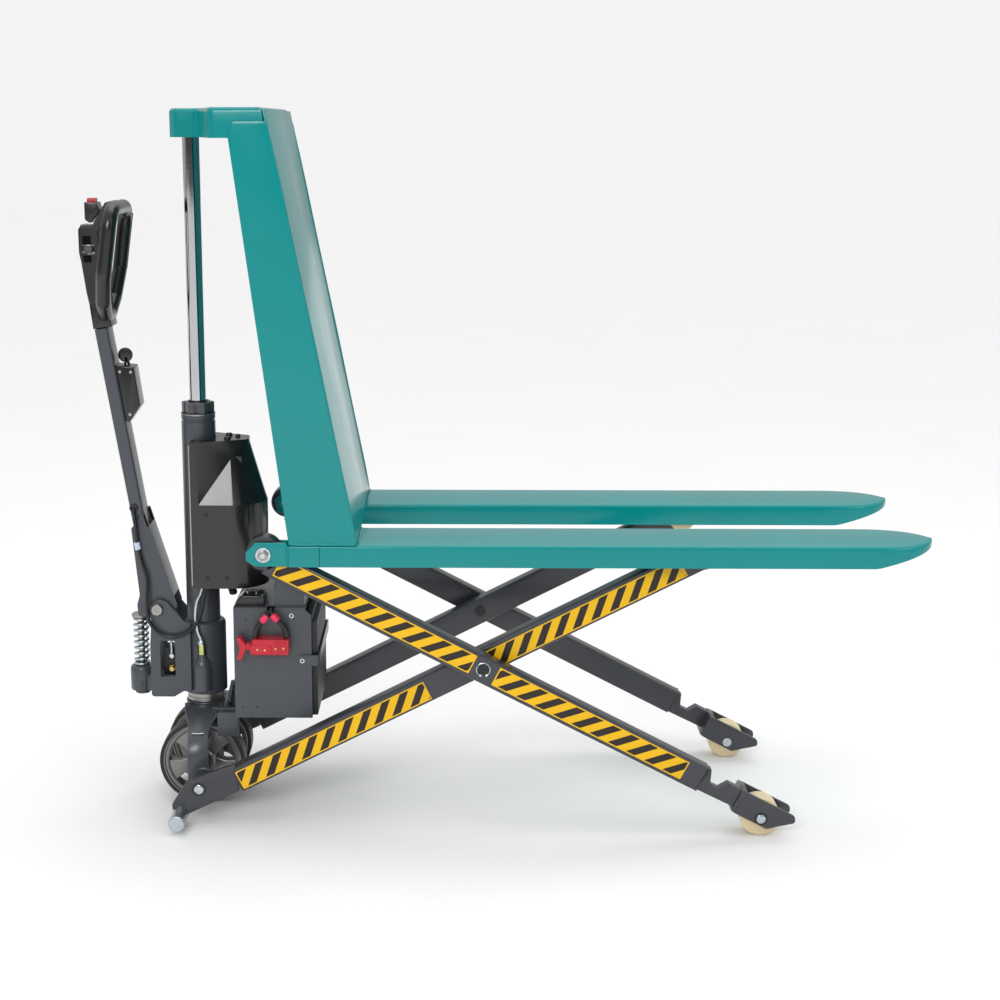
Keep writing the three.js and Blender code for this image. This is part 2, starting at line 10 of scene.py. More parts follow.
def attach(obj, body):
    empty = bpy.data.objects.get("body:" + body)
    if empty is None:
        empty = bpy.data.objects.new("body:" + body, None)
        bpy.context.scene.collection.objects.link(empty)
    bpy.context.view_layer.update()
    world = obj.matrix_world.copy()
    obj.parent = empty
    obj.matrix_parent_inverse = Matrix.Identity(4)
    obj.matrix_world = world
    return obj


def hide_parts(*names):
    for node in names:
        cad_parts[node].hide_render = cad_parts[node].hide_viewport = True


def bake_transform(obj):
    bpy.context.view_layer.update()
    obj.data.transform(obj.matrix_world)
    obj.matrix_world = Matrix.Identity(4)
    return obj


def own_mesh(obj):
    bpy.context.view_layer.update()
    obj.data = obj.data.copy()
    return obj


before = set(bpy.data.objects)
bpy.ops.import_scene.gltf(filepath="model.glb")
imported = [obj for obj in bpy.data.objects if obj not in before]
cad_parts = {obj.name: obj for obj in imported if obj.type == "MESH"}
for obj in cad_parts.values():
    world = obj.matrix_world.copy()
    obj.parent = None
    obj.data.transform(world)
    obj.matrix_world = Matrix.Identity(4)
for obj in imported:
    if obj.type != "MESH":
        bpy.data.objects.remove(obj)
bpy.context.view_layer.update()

SHIFT = 621.0
GAP = 0.3
PIVOT_A = (10, 77)
PIVOT_B = (158, 585)
PIVOT_C = (587, 351.5)
AXLE_D = (1146, 40)
OUTER_SLOPE = -27.36
INNER_SLOPE = 26.95
TILLER_PIVOT = (-90, 413)
TILLER_LEAN = 9
PUMP_X = -134
WHEEL_R = 90
FORK_ROLLER = (1022.5, 569.6)
FOOT = (-29, 25)
LEG_TOP, LEG_BOTTOM = 25.3, -28.7
FORK_Y, FORK_HALF, FORK_TOP = 190, 80.0, 605.0
NOSE_START, NOSE_END = 1345, 1470
FILM_PITCH = 41.2
AXIS = (0, 0, 0)


# ---------------------------------------------------------------- camera, light and floor
def placed(name, data):
    """A new object for the data, in the scene."""
    item = bpy.data.objects.new(name, data)
    bpy.context.collection.objects.link(item)
    return item


def add_camera():
    data = bpy.data.cameras.new("camera")
    data.lens = 63
    data.sensor_width = 36
    data.shift_x = 0.07
    data.clip_end = 60
    camera = placed("camera", data)
    camera.location = (-0.0955, -3.5634, 1.4012)
    camera.rotation_euler = (math.radians(77.91), 0, math.radians(0.755))
    bpy.context.scene.camera = camera


def add_light(name, place, target, size, power):
    data = bpy.data.lights.new(name, "AREA")
    data.shape = "RECTANGLE"
    data.size, data.size_y = size
    data.energy = power
    light = placed(name, data)
    light.location = place
    light.rotation_euler = (Vector(target) - Vector(place)).to_track_quat("-Z", "Y").to_euler()


def add_sun(strength):
    data = bpy.data.lights.new("sky", "SUN")
    data.energy = strength
    data.angle = math.radians(70)
    placed("sky", data).rotation_euler = (math.radians(-12), math.radians(8), 0)


def set_limits(node, low, high, out_low, out_high):
    for socket, value in (("From Min", low), ("From Max", high), ("To Min", out_low), ("To Max", out_high)):
        node.inputs[socket].default_value = value


def add_world():
    """A studio for the reflections, bright above and behind the truck, and a plain white backdrop."""
    world = bpy.data.worlds.new("studio")
    bpy.context.scene.world = world
    world.use_nodes = True
    nodes, links = world.node_tree.nodes, world.node_tree.links
    nodes.clear()
    output = nodes.new("ShaderNodeOutputWorld")
    mix = nodes.new("ShaderNodeMixShader")
    path = nodes.new("ShaderNodeLightPath")
    plain = nodes.new("ShaderNodeBackground")
    plain.inputs["Color"].default_value = (1, 1, 1, 1)
    plain.inputs["Strength"].default_value = 0.9
    studio = nodes.new("ShaderNodeBackground")
    studio.inputs["Strength"].default_value = 0.62
    coordinates = nodes.new("ShaderNodeTexCoord")
    split = nodes.new("ShaderNodeSeparateXYZ")
    links.new(coordinates.outputs["Generated"], split.inputs[0])
    brighter = nodes.new("ShaderNodeMath")
    brighter.operation = "MAXIMUM"
    for i, (axis, limits) in enumerate((("Y", (-0.75, 0.15, 0.10, 0.80)), ("Z", (0.10, 0.42, 0.0, 1.3)))):
        ramp = nodes.new("ShaderNodeMapRange")
        ramp.interpolation_type = "SMOOTHSTEP"
        set_limits(ramp, *limits)
        links.new(split.outputs[axis], ramp.inputs["Value"])
        links.new(ramp.outputs["Result"], brighter.inputs[i])
    links.new(brighter.outputs[0], studio.inputs["Color"])
    links.new(path.outputs["Is Camera Ray"], mix.inputs["Fac"])
    links.new(studio.outputs[0], mix.inputs[1])
    links.new(plain.outputs[0], mix.inputs[2])
    links.new(mix.outputs[0], output.inputs["Surface"])


# ---------------------------------------------------------------- materials
class Shader:
    """A Principled material with noise in its colour, roughness and bump."""

    def __init__(self, name, color, roughness, metallic=0.0, coat=0.0, specular=0.5):
        self.material = bpy.data.materials.new(name)
        self.material.use_nodes = True
        tree = self.material.node_tree
        self.nodes, self.links = tree.nodes, tree.links
        self.surface = self.nodes["Principled BSDF"]
        self.surface.inputs["Base Color"].default_value = (*color, 1)
        self.surface.inputs["Roughness"].default_value = roughness
        self.surface.inputs["Metallic"].default_value = metallic
        self.surface.inputs["Coat Weight"].default_value = coat
        self.surface.inputs["Coat Roughness"].default_value = 0.08
        self.surface.inputs["Specular IOR Level"].default_value = specular
        self.color = color
        self.roughness = roughness
        coordinates = self.nodes.new("ShaderNodeTexCoord")
        self.place = coordinates.outputs["Object"]

    def noise(self, scale, detail=4.0, stretch=None):
        node = self.nodes.new("ShaderNodeTexNoise")
        node.inputs["Scale"].default_value = scale
        node.inputs["Detail"].default_value = detail
        node.inputs["Roughness"].default_value = 0.6
        place = self.place
        if stretch:
            mapping = self.nodes.new("ShaderNodeMapping")
            mapping.inputs["Scale"].default_value = stretch
            self.links.new(place, mapping.inputs["Vector"])
            place = mapping.outputs[0]
        self.links.new(place, node.inputs["Vector"])
        return node.outputs["Fac"]

    def ranged(self, value, low, high, out_low, out_high):
        node = self.nodes.new("ShaderNodeMapRange")
        set_limits(node, low, high, out_low, out_high)
        self.links.new(value, node.inputs["Value"])
        return node.outputs["Result"]

    def blend(self, factor, low, high):
        node = self.nodes.new("ShaderNodeMix")
        node.data_type = "RGBA"
        self.links.new(factor, node.inputs["Factor"])
        for socket, value in (("A", low), ("B", high)):
            slot = [i for i in node.inputs if i.name == socket and i.type == "RGBA"][0]
            if isinstance(value, tuple):
                slot.default_value = (*value, 1)
            else:
                self.links.new(value, slot)
        return [o for o in node.outputs if o.type == "RGBA"][0]

    def paint(self, value):
        self.links.new(value, self.surface.inputs["Base Color"])
        self.tone = value

    def mottle(self, scale, amount, stretch=None):
        fac = self.ranged(self.noise(scale, stretch=stretch), 0.3, 0.7, 0, 1)
        dark = tuple(c * (1 - amount) for c in self.color)
        light = tuple(min(1, c * (1 + amount)) for c in self.color)
        self.paint(self.blend(fac, dark, light))
        return self

    def polish(self, scale, spread, stretch=None):
        fac = self.noise(scale, stretch=stretch)
        low, high = max(0.02, self.roughness - spread), self.roughness + spread
        self.links.new(self.ranged(fac, 0.3, 0.7, low, high), self.surface.inputs["Roughness"])
        return self

    def grain(self, scale, strength, distance, stretch=None):
        bump = self.nodes.new("ShaderNodeBump")
        bump.inputs["Strength"].default_value = strength
        bump.inputs["Distance"].default_value = distance
        self.links.new(self.noise(scale, 3.0, stretch), bump.inputs["Height"])
        self.links.new(bump.outputs[0], self.surface.inputs["Normal"])
        return self

    def dusty(self, color, top, height, amount):
        """A thin film of dust that fades out with height above the floor."""
        split = self.nodes.new("ShaderNodeSeparateXYZ")
        self.links.new(self.place, split.inputs[0])
        near = self.ranged(split.outputs["Z"], top, height, amount, 0)
        patch = self.ranged(self.noise(30), 0.35, 0.75, 0, 1)
        both = self.nodes.new("ShaderNodeMath")
        both.operation = "MULTIPLY"
        both.use_clamp = True
        self.links.new(near, both.inputs[0])
        self.links.new(patch, both.inputs[1])
        self.paint(self.blend(both.outputs[0], self.tone, color))
        return self


# Colour, roughness, other surface values, then mottle, polish, grain and, where there is any, dust.
FINISHES = {
    "teal_paint": ((0.0, 0.228, 0.228), 0.20, {"coat": 0.12, "specular": 0.3}, (3, 0.03), (6, 0.03),
        (180, 0.03, 0.0002)),
    "chassis_paint": ((0.052, 0.059, 0.070), 0.34, {"coat": 0.1}, (5, 0.05), (9, 0.04), (330, 0.06, 0.0003),
        ((0.12, 0.115, 0.11), 0.02, 0.22, 0.12)),
    "leg_paint": ((0.034, 0.036, 0.043), 0.32, {"coat": 0.15}, (5, 0.05), (8, 0.04), (330, 0.06, 0.0003),
        ((0.11, 0.105, 0.10), 0.02, 0.20, 0.12)),
    "moulded_black": ((0.010, 0.010, 0.011), 0.24, {"coat": 0.15}, (5, 0.06), (7, 0.03),
        (420, 0.04, 0.0002)),
    "matt_black": ((0.010, 0.010, 0.011), 0.45, {}, (8, 0.08), (12, 0.05), (420, 0.08, 0.0002)),
    "grip_black": ((0.009, 0.009, 0.010), 0.26, {"coat": 0.15}, (8, 0.08), (12, 0.04), (420, 0.10, 0.0003)),
    # Near-black with little reflection: painted shade for the shadow in the handle's lever recesses.
    "painted_recess_shade": ((0.002, 0.002, 0.002), 0.7, {"specular": 0.1}, (12, 0.2), (20, 0.08),
        (420, 0.05, 0.0002)),
    "cable_black": ((0.010, 0.010, 0.011), 0.34, {}, (60, 0.25), (90, 0.08), (900, 0.12, 0.0003)),
    "polished_chrome": ((0.58, 0.59, 0.61), 0.07, {"metallic": 1.0}, (3, 0.03),
        (120, 0.015, (0.05, 0.05, 1)), (400, 0.01, 0.0001, (0.04, 0.04, 1))),
    "machined_steel": ((0.36, 0.35, 0.33), 0.38, {"metallic": 1.0}, (14, 0.06), (30, 0.05),
        (500, 0.05, 0.0002)),
    "zinc_plate": ((0.50, 0.56, 0.60), 0.27, {"metallic": 1.0}, (16, 0.06), (40, 0.05),
        (500, 0.05, 0.0002)),
    "yellow_zinc": ((0.52, 0.55, 0.20), 0.32, {"metallic": 1.0}, (60, 0.15), (60, 0.05),
        (500, 0.06, 0.0002)),
    "brass_metal": ((0.62, 0.43, 0.17), 0.30, {"metallic": 1.0}, (60, 0.12), (60, 0.05),
        (500, 0.06, 0.0002)),
    "cast_aluminium": ((0.24, 0.236, 0.23), 0.34, {"metallic": 0.9}, (12, 0.08), (24, 0.06),
        (420, 0.10, 0.0003)),
    "tread_rubber": ((0.012, 0.012, 0.012), 0.55, {}, (16, 0.15), (24, 0.06), (420, 0.12, 0.0003),
        ((0.08, 0.075, 0.07), 0.0, 0.06, 0.15)),
    "cream_urethane": ((0.74, 0.62, 0.38), 0.34, {}, (12, 0.05), (24, 0.05), (400, 0.05, 0.0003),
        ((0.36, 0.27, 0.15), 0.0, 0.05, 0.45)),
    "red_plastic": ((0.52, 0.008, 0.026), 0.34, {}, (16, 0.06), (30, 0.05), (420, 0.06, 0.0002)),
    "pink_tag": ((0.80, 0.03, 0.11), 0.4, {}, (30, 0.08), (40, 0.05), (420, 0.06, 0.0002)),
    "clip_plastic": ((0.55, 0.62, 0.78), 0.35, {}, (120, 0.15), (80, 0.08), (900, 0.12, 0.0003)),
    "yellow_film": ((0.82, 0.47, 0.001), 0.34, {"specular": 0.35}, (6, 0.03), (10, 0.04),
        (300, 0.03, 0.0002)),
    "dark_film": ((0.020, 0.013, 0.010), 0.34, {"specular": 0.35}, (6, 0.06), (10, 0.04),
        (300, 0.03, 0.0002)),
}


def finish(name):
    color, roughness, extra, mottle, polish, grain, *dust = FINISHES[name]
    shader = Shader(name, color, roughness, **extra).mottle(*mottle).polish(*polish).grain(*grain)
    if dust:
        shader.dusty(*dust[0])
    return shader.material


# ---------------------------------------------------------------- meshes
def at(x, y, z):
    return Vector(((x - SHIFT) / 1000, y / 1000, z / 1000))


def shade(mesh, angle=38):
    mesh.shade_smooth()
    mesh.set_sharp_from_angle(angle=math.radians(angle))


def new_mesh(name, points, faces, angle=38):
    mesh = bpy.data.meshes.new(name)
    mesh.from_pydata([at(*point) for point in points], [], faces)
    mesh.validate()
    mesh.update()
    shade(mesh, angle)
    return placed(name, mesh)


def evaluated(piece):
    """A new mesh with the piece's modifiers applied."""
    bpy.context.view_layer.update()
    return bpy.data.meshes.new_from_object(piece.evaluated_get(bpy.context.evaluated_depsgraph_get()))


def baked(piece):
    """The piece with its modifiers applied, as a plain mesh."""
    mesh = evaluated(piece)
    name = piece.name
    old = piece.data
    bpy.data.objects.remove(piece)
    if isinstance(old, bpy.types.Curve):
        bpy.data.curves.remove(old)
    mesh.name = name
    return placed(name, mesh)


def bevelled(piece, width=1.0, segments=2, angle=35):
    modifier = piece.modifiers.new("bevel", "BEVEL")
    modifier.width = width / 1000
    modifier.segments = segments
    modifier.limit_method = "ANGLE"
    modifier.angle_limit = math.radians(angle)
    modifier.harden_normals = True
    return piece


def rounded(points, steps=6):
    """The outline, with each corner that has a third value rounded to that radius."""
    result = []
    for i, point in enumerate(points):
        here = Vector(point[:2])
        if len(point) < 3:
            result.append(tuple(here))
            continue
        back = (Vector(points[i - 1][:2]) - here).normalized()
        ahead = (Vector(points[(i + 1) % len(points)][:2]) - here).normalized()
        half = math.acos(max(-1.0, min(1.0, back.dot(ahead)))) / 2
        reach = point[2] / math.tan(half)
        start, end = here + back * reach, here + ahead * reach
        for k in range(steps + 1):
            t = k / steps
            curve = start * (1 - t) ** 2 + here * 2 * t * (1 - t) + end * t * t
            result.append((curve.x, curve.y))
    return result


def circle(x, y, radius, count=40):
    return [(x + radius * math.cos(2 * math.pi * i / count),
        y + radius * math.sin(2 * math.pi * i / count)) for i in range(count)]


def rect(left, right, bottom, top):
    return [(left, bottom), (right, bottom), (right, top), (left, top)]


def slab(name, axis, loops, reach, bevel=1.0, steps=2):
    """Outlines, the first outside and the rest holes, made solid along an axis with rounded edges."""
    curve = bpy.data.curves.new(name, "CURVE")
    curve.dimensions = "2D"
    curve.fill_mode = "BOTH"
    half = (reach[1] - reach[0]) / 2
    bevel = min(bevel, half * 0.95)
    curve.extrude = (half - bevel) / 1000
    curve.bevel_depth = bevel / 1000
    curve.bevel_resolution = steps
    curve.offset = -bevel / 1000
    for loop in loops:
        spline = curve.splines.new("POLY")
        spline.points.add(len(loop) - 1)
        for point, (a, b) in zip(spline.points, loop):
            point.co = (a / 1000, b / 1000, 0, 1)
        spline.use_cyclic_u = True
    piece = baked(placed(name, curve))
    middle = (reach[0] + reach[1]) / 2000
    turn = {"x": Matrix(((0, 0, 1, middle), (1, 0, 0, 0), (0, 1, 0, 0), (0, 0, 0, 1))),
        "y": Matrix(((1, 0, 0, 0), (0, 0, -1, middle), (0, 1, 0, 0), (0, 0, 0, 1))),
        "z": Matrix(((1, 0, 0, 0), (0, 1, 0, 0), (0, 0, 1, middle), (0, 0, 0, 1))),}[axis]
    piece.data.transform(Matrix.Translation((-SHIFT / 1000, 0, 0)) @ turn)
    merge_close(piece)
    shade(piece.data)
    return piece


def merge_close(piece):
    """Joins the points that the bevelled curve leaves in the same place."""
    modifier = piece.modifiers.new("weld", "WELD")
    modifier.merge_threshold = 0.00001
    mesh = evaluated(piece)
    piece.modifiers.clear()
    old = piece.data
    piece.data = mesh
    bpy.data.meshes.remove(old)


def lathe(name, profile, middle, axis="z", count=64):
    """A profile of (radius, height) turned about an axis through the middle point."""
    points, rings = [], []
    for radius, height in profile:
        ring = []
        for i in range(1 if radius < 1e-6 else count):
            angle = 2 * math.pi * i / count
            a, b = radius * math.cos(angle), radius * math.sin(angle)
            spot = {"z": (a, b, height), "y": (a, height, -b), "x": (height, a, b)}[axis]
            ring.append(len(points))
            points.append(tuple(m + s for m, s in zip(middle, spot)))
        rings.append(ring)
    return new_mesh(name, points, ring_faces(rings), 30)


def turned(name, profile, spot, count=64):
    """A profile of (radius, y) turned about a Y axis through the spot (x, z)."""
    return lathe(name, profile, (spot[0], 0, spot[1]), "y", count)


def ring_faces(rings, close=False):
    """Faces between each two neighbouring rings of point numbers. A ring of one point is a tip."""
    faces = []
    pairs = list(zip(rings, rings[1:]))
    if close:
        pairs.append((rings[-1], rings[0]))
    for low, high in pairs:
        count = max(len(low), len(high))
        for i in range(count):
            k = (i + 1) % count
            if len(low) == 1 and len(high) == 1:
                continue
            if len(low) == 1:
                faces.append((low[0], high[k], high[i]))
            elif len(high) == 1:
                faces.append((low[i], low[k], high[0]))
            else:
                faces.append((low[i], low[k], high[k], high[i]))
    return faces


def loft(name, sections, close=False):
    """Closed sections of the same point count, skinned one after the other and capped at both ends."""
    points, rings = [], []
    for section in sections:
        rings.append(list(range(len(points), len(points) + len(section))))
        points.extend(section)
    faces = ring_faces(rings, close)
    if not close:
        faces.append(tuple(reversed(rings[0])))
        faces.append(tuple(rings[-1]))
    return outward(new_mesh(name, points, faces))


def outward(piece):
    work = bmesh.new()
    work.from_mesh(piece.data)
    bmesh.ops.recalc_face_normals(work, faces=work.faces)
    work.to_mesh(piece.data)
    work.free()
    shade(piece.data)
    return piece


def spline(points, steps):
    """Points along a smooth curve through the given ones."""
    spots = [Vector(point) for point in points]
    last = len(spots) - 1
    result = []
    for i in range(last):
        a, b, c, d = (spots[max(0, min(last, i + k))] for k in (-1, 0, 1, 2))
        for k in range(steps):
            t = k / steps
            result.append(0.5 * ((2 * b) + (c - a) * t + (2 * a - 5 * b + 4 * c - d) * t * t
                + (3 * b - a - 3 * c + d) * t ** 3))
    result.append(spots[-1])
    return result


def sweep(name, path, radius, sides=16, closed=False, up=None):
    """A tube along a path. The radius is a number or a function of the share along it."""
    spots = [Vector(point) for point in path]
    count = len(spots)
    sections = []
    normal = None
    for i, spot in enumerate(spots):
        ahead = spots[(i + 1) % count] if closed or i < count - 1 else spot
        behind = spots[i - 1] if closed or i > 0 else spot
        along = (ahead - behind).normalized()
        if up is not None:
            normal = Vector(up) - along * along.dot(Vector(up))
        elif normal is None:
            seed = Vector((0, 0, 1)) if abs(along.z) < 0.8 else Vector((1, 0, 0))
            normal = seed - along * along.dot(seed)
        else:
            normal = normal - along * along.dot(normal)
        normal.normalize()
        side = along.cross(normal)
        size = radius(i / max(1, count - 1)) if callable(radius) else radius
        sections.append([tuple(spot + normal * (size * math.cos(2 * math.pi * k / sides))
            + side * (size * math.sin(2 * math.pi * k / sides))) for k in range(sides)])
    return loft(name, sections, close=closed)


def joined(name, *pieces):
    """Several meshes as one piece."""
    work = bmesh.new()
    for piece in pieces:
        source = baked(piece) if piece.modifiers else piece
        work.from_mesh(source.data)
        bpy.data.objects.remove(source)
    mesh = bpy.data.meshes.new(name)
    work.to_mesh(mesh)
    work.free()
    shade(mesh)
    return placed(name, mesh)


def mirrored(piece, name):
    """The same piece on the other side of the truck."""
    work = bmesh.new()
    work.from_mesh(piece.data)
    bmesh.ops.scale(work, vec=(1, -1, 1), verts=work.verts)
    bmesh.ops.reverse_faces(work, faces=work.faces)
    mesh = bpy.data.meshes.new(name)
    work.to_mesh(mesh)
    work.free()
    return placed(name, mesh)


def give(piece, body, material, slot, *nodes):
    """Puts a piece on its body, in its material, in place of the CAD nodes it stands for."""
    piece.data.materials.clear()
    piece.data.materials.append(material)
    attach(piece, body)
    if nodes:
        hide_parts(*nodes)
    return piece


def give_pair(piece, body, material, slot, *nodes):
    """The same for a left-hand piece and its mirror image. A {} in a name is the side."""
    name = piece.name
    piece.name = f"{name}_left"
    other = mirrored(piece, f"{name}_right")
    give(piece, body.format("left"), material, slot, *[node.format("left") for node in nodes])
    give(other, body.format("right"), material, slot, *[node.format("right") for node in nodes])


def dress(material, *nodes):
    """A CAD node that stays, with welded and rounded edges and a finished material."""
    for node in nodes:
        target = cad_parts[node]
        target.data.materials.clear()
        target.data.materials.append(material)
        weld = target.modifiers.new("weld", "WELD")
        weld.merge_threshold = 0.00002
        bevelled(target, 0.6, 2, 40)


# ---------------------------------------------------------------- shared small parts
def leg_point(slope, u, v):
    angle = math.radians(slope)
    return (PIVOT_C[0] + u * math.cos(angle) - v * math.sin(angle), PIVOT_C[1] + u * math.sin(angle)
        + v * math.cos(angle))


def leg_outline(slope, points):
    return [leg_point(slope, *point) for point in points]


def leaned(x, z):
    angle = math.radians(TILLER_LEAN)
    return (TILLER_PIVOT[0] + x * math.cos(angle) - z * math.sin(angle), TILLER_PIVOT[1]
        + x * math.sin(angle) + z * math.cos(angle))


def leaned_outline(points):
    return [leaned(*point) for point in points]


def bead(name, path, radius=2.0, ripple=5.0):
    """A weld bead: a low ridge with the ripples of its drops."""
    spots = spline(path, 14)
    length = sum((b - a).length for a, b in zip(spots, spots[1:]))

    def size(share):
        wave = math.sin(2 * math.pi * share * length / ripple)
        return radius * (0.85 + 0.15 * wave) * min(1.0, 0.35 + 8 * min(share, 1 - share))

    return sweep(name, spots, size, 10)


def hexagon(name, x, z, flat_radius, reach, chamfer=1.2):
    """A hexagon nut or head on a Y axis, its outer corners chamfered."""
    corner = flat_radius / math.cos(math.pi / 6)
    turn = math.radians(12)
    outline = [(x + corner * math.cos(turn + math.pi * i / 3), z + corner * math.sin(turn
        + math.pi * i / 3)) for i in range(6)]
    return slab(name, "y", [outline], reach, chamfer, 2)


def dome_head(name, x, z, radius, inner, outer, rise=0.8):
    """A round head on a Y axis whose outer face is a shallow dome."""
    profile = [(0, inner), (radius, inner), (radius, outer + rise), (radius * 0.92, outer + rise * 0.4),
        (radius * 0.6, outer + rise * 0.1), (0, outer)]
    return turned(name, profile, (x, z), 48)


def bolt_piece(name, x, y, z, radius=4.5):
    """A small hexagon-socket bolt head facing the left side."""
    outline = circle(x, z, radius, 32)
    socket = circle(x, z, radius * 0.5, 6)
    return slab(name, "y", [outline, socket], (y - 2.6, y), 0.5, 2)


# ---------------------------------------------------------------- fork frame
def fork_section(x, low, high, bottom, top_radius=7.0):
    """One closed cross-section of the fork: a channel open below, rounded outside and inside."""
    top, wall, plate = FORK_TOP, 5.0, 4.0
    radius = min(top_radius, (high - low) * 0.3)
    inner_low, inner_high = low + min(wall, (high - low) * 0.3), high - min(wall, (high - low) * 0.3)
    inner_radius = min(3.0, (inner_high - inner_low) * 0.3)
    bottom = min(bottom, top - plate - 4)
    steps = 6
    section = [(x, low, bottom)]
    for i in range(steps + 1):
        angle = math.pi - i / steps * math.pi / 2
        section.append((x, low + radius + radius * math.cos(angle), top - radius + radius * math.sin(angle)))
    for i in range(steps + 1):
        angle = math.pi / 2 - i / steps * math.pi / 2
        section.append((x, high - radius + radius * math.cos(angle), top - radius
            + radius * math.sin(angle)))
    section.append((x, high, bottom))
    section.append((x, inner_high, bottom))
    for i in range(4):
        angle = i / 3 * math.pi / 2
        section.append((x, inner_high - inner_radius + inner_radius * math.cos(angle), top - plate
            - inner_radius + inner_radius * math.sin(angle)))
    for i in range(4):
        angle = math.pi / 2 + i / 3 * math.pi / 2
        section.append((x, inner_low + inner_radius + inner_radius * math.cos(angle), top - plate
            - inner_radius + inner_radius * math.sin(angle)))
    section.append((x, inner_low, bottom))
    return section


def fork_half_width(x):
    if x <= NOSE_START:
        return FORK_HALF
    share = (x - NOSE_START) / (NOSE_END - NOSE_START)
    return max(6.0, FORK_HALF * (1 - min(1.0, share) ** 2.6) ** 0.6)


def build_forks(teal):
    stations = [267, 500, 800, 1100, 1300, 1344] + [1346 + 124 * math.sin(math.pi / 2 * i / 20)
        for i in range(21)]
    ramp_start, ramp_rise, ramp_run = 1350, 30, 116
    sections = []
    for x in stations:
        bottom = 561 + max(0.0, x - ramp_start) * ramp_rise / ramp_run
        half = fork_half_width(x)
        edge = 7 + 7 * max(0.0, x - NOSE_START) / (NOSE_END - NOSE_START)
        sections.append(fork_section(x, -FORK_Y - half, -FORK_Y + half, bottom, edge))
    main = loft("fork_main", sections)
    rear = loft("fork_rear", [fork_section(x, -270, -137, 561) for x in (208, 268)])
    outer_lug = slab("lug", "y", [rounded([(124, 573, 6), (124, 590, 8), (142, 609, 6), (203, 609, 2),
        (206, 600), (240, 600), (240, 562), (142, 562, 8)]), circle(*PIVOT_B, 10.6)], (-269.6, -262), 1.4)
    inner_lug = slab("inner_lug", "y", [[(138, 566), (134, 592), (146, 603), (300, 600.5), (300, 590),
        (210, 562), (146, 562)], circle(*PIVOT_B, 10.6)], (-216, -210), 1.0)
    give_pair(joined("fork_body", main, rear, outer_lug, inner_lug), "fork_frame", teal, "teal", "fork_{}")
    give_pair(joined("fork_welds", bead("a", [(205.5, -270.2, 604), (205, -270.4, 585),
        (205.5, -270.2, 565)], 2.2), bead("b", [(212, -269.5, 606), (270, -269.5, 606.2),
        (338, -269.5, 606)], 2.2), bead("c", [(342.5, -262, 606), (342.5, -190, 606.4),
        (342.5, -112, 606)], 2.4)), "fork_frame", teal, "teal")


def build_mast(teal):
    plate = slab("mast_plate", "y", [rounded([(208, 605.3), (341, 605.3), (181, 1409, 10),
        (116, 1409, 10), (108, 1380)])], (-270, -264), 1.6, 3)
    give_pair(plate, "fork_frame", teal, "teal", "mast_side_{}")
    sheet = slab("back_sheet", "y", [[(335.6, 605.3), (340.8, 605.3), (176.5, 1430), (171.3, 1430)]],
        (-263.7, 263.7), 1.4, 3)
    give(sheet, "fork_frame", teal, "teal", "backrest")
    give_pair(bead("mast_seam", [(339.5, -265, 612), (262, -265, 1003), (182, -265, 1400)], 1.8, 7),
        "fork_frame", teal, "teal")


def inset(outline, distance):
    """The outline moved inwards by a distance, corner by corner."""
    count = len(outline)
    result = []
    for i, point in enumerate(outline):
        before, after = Vector(outline[i - 1]), Vector(outline[(i + 1) % count])
        here = Vector(point)
        first, second = (here - before).normalized(), (after - here).normalized()
        normal = Vector((-(first.y + second.y), first.x + second.x))
        if normal.length < 1e-6:
            normal = Vector((-first.y, first.x))
        normal.normalize()
        scale = max(0.5, normal.dot(Vector((-first.y, first.x))))
        result.append(tuple(here + normal * (distance / scale)))
    return result


def build_crosshead(teal):
    half = [(181, 268, 5), (80, 268, 8), (70, 260, 8), (22, 46, 16), (-25, 42, 12), (-38, 24, 12)]
    outline = rounded(half + [(p[0], -p[1], *p[2:]) for p in reversed(half)], 5)

    top, fillet, lean = 1434, 8.0, 0.153

    def level(distance, z):
        ring = []
        for x, y in inset(outline, distance):
            front = 182.6 - (z - 1352.9) * lean - distance
            ring.append((min(x, front), y, z))
        return ring

    rings = [level(0, 1378), level(0, 1400), level(0, top - fillet)]
    for i in range(1, 7):
        angle = i / 6 * math.pi / 2
        rings.append(level(fillet * (1 - math.cos(angle)), top - fillet + fillet * math.sin(angle)))
    inside = [level(10, 1429), level(5, 1424), level(5, 1400), level(5, 1378)]
    points, indices = [], []
    for ring in rings + inside:
        indices.append(list(range(len(points), len(points) + len(ring))))
        points.extend(ring)
    outer, inner = indices[:len(rings)], indices[len(rings):]
    faces = ring_faces(outer) + ring_faces(inner)
    faces.append(tuple(outer[-1]))
    faces.append(tuple(reversed(inner[0])))
    faces += ring_faces([inner[-1], outer[0]])
    pan = outward(new_mesh("crosshead_pan", points, faces))
    give(pan, "fork_frame", teal, "teal", "crosshead")
    folds = [bead("f", [(x, -y, 1384), (x, -y - 0.2, 1405), (x + 0.4, -y + 0.6, 1424)], 1.0, 9)
        for x, y in ((24, 49), (70, 259))]
    give_pair(joined("crosshead_folds", *folds), "fork_frame", teal, "teal")


def build_lift_pivots(zinc, steel, matt):
    x, z = PIVOT_B
    washer = turned("washer", [(5, -270.4), (15, -270.4), (15, -271.6), (14.2, -272.4), (5, -272.4),
        (5, -270.4)], (x, z))
    nut = hexagon("lift_nut", x, z, 9.6, (-279.6, -272.4))
    end = turned("end", [(0, -281), (4.4, -281), (5.4, -280), (5.4, -262), (0, -262)], (x, z))
    pin = turned("pin", rect(0, 10, -262, -208.6), (x, z))
    give_pair(joined("lift_bolt", washer, end, pin), "fork_frame", zinc, "steel", "lift_pivot_bolt_{}")
    give_pair(nut, "fork_frame", steel, "steel")
    socket = slab("socket", "y", [circle(x, z, 9), circle(x, z, 4.4, 6)], (-218.6, -216.2), 0.6)
    give_pair(socket, "fork_frame", matt, "black_plastic")


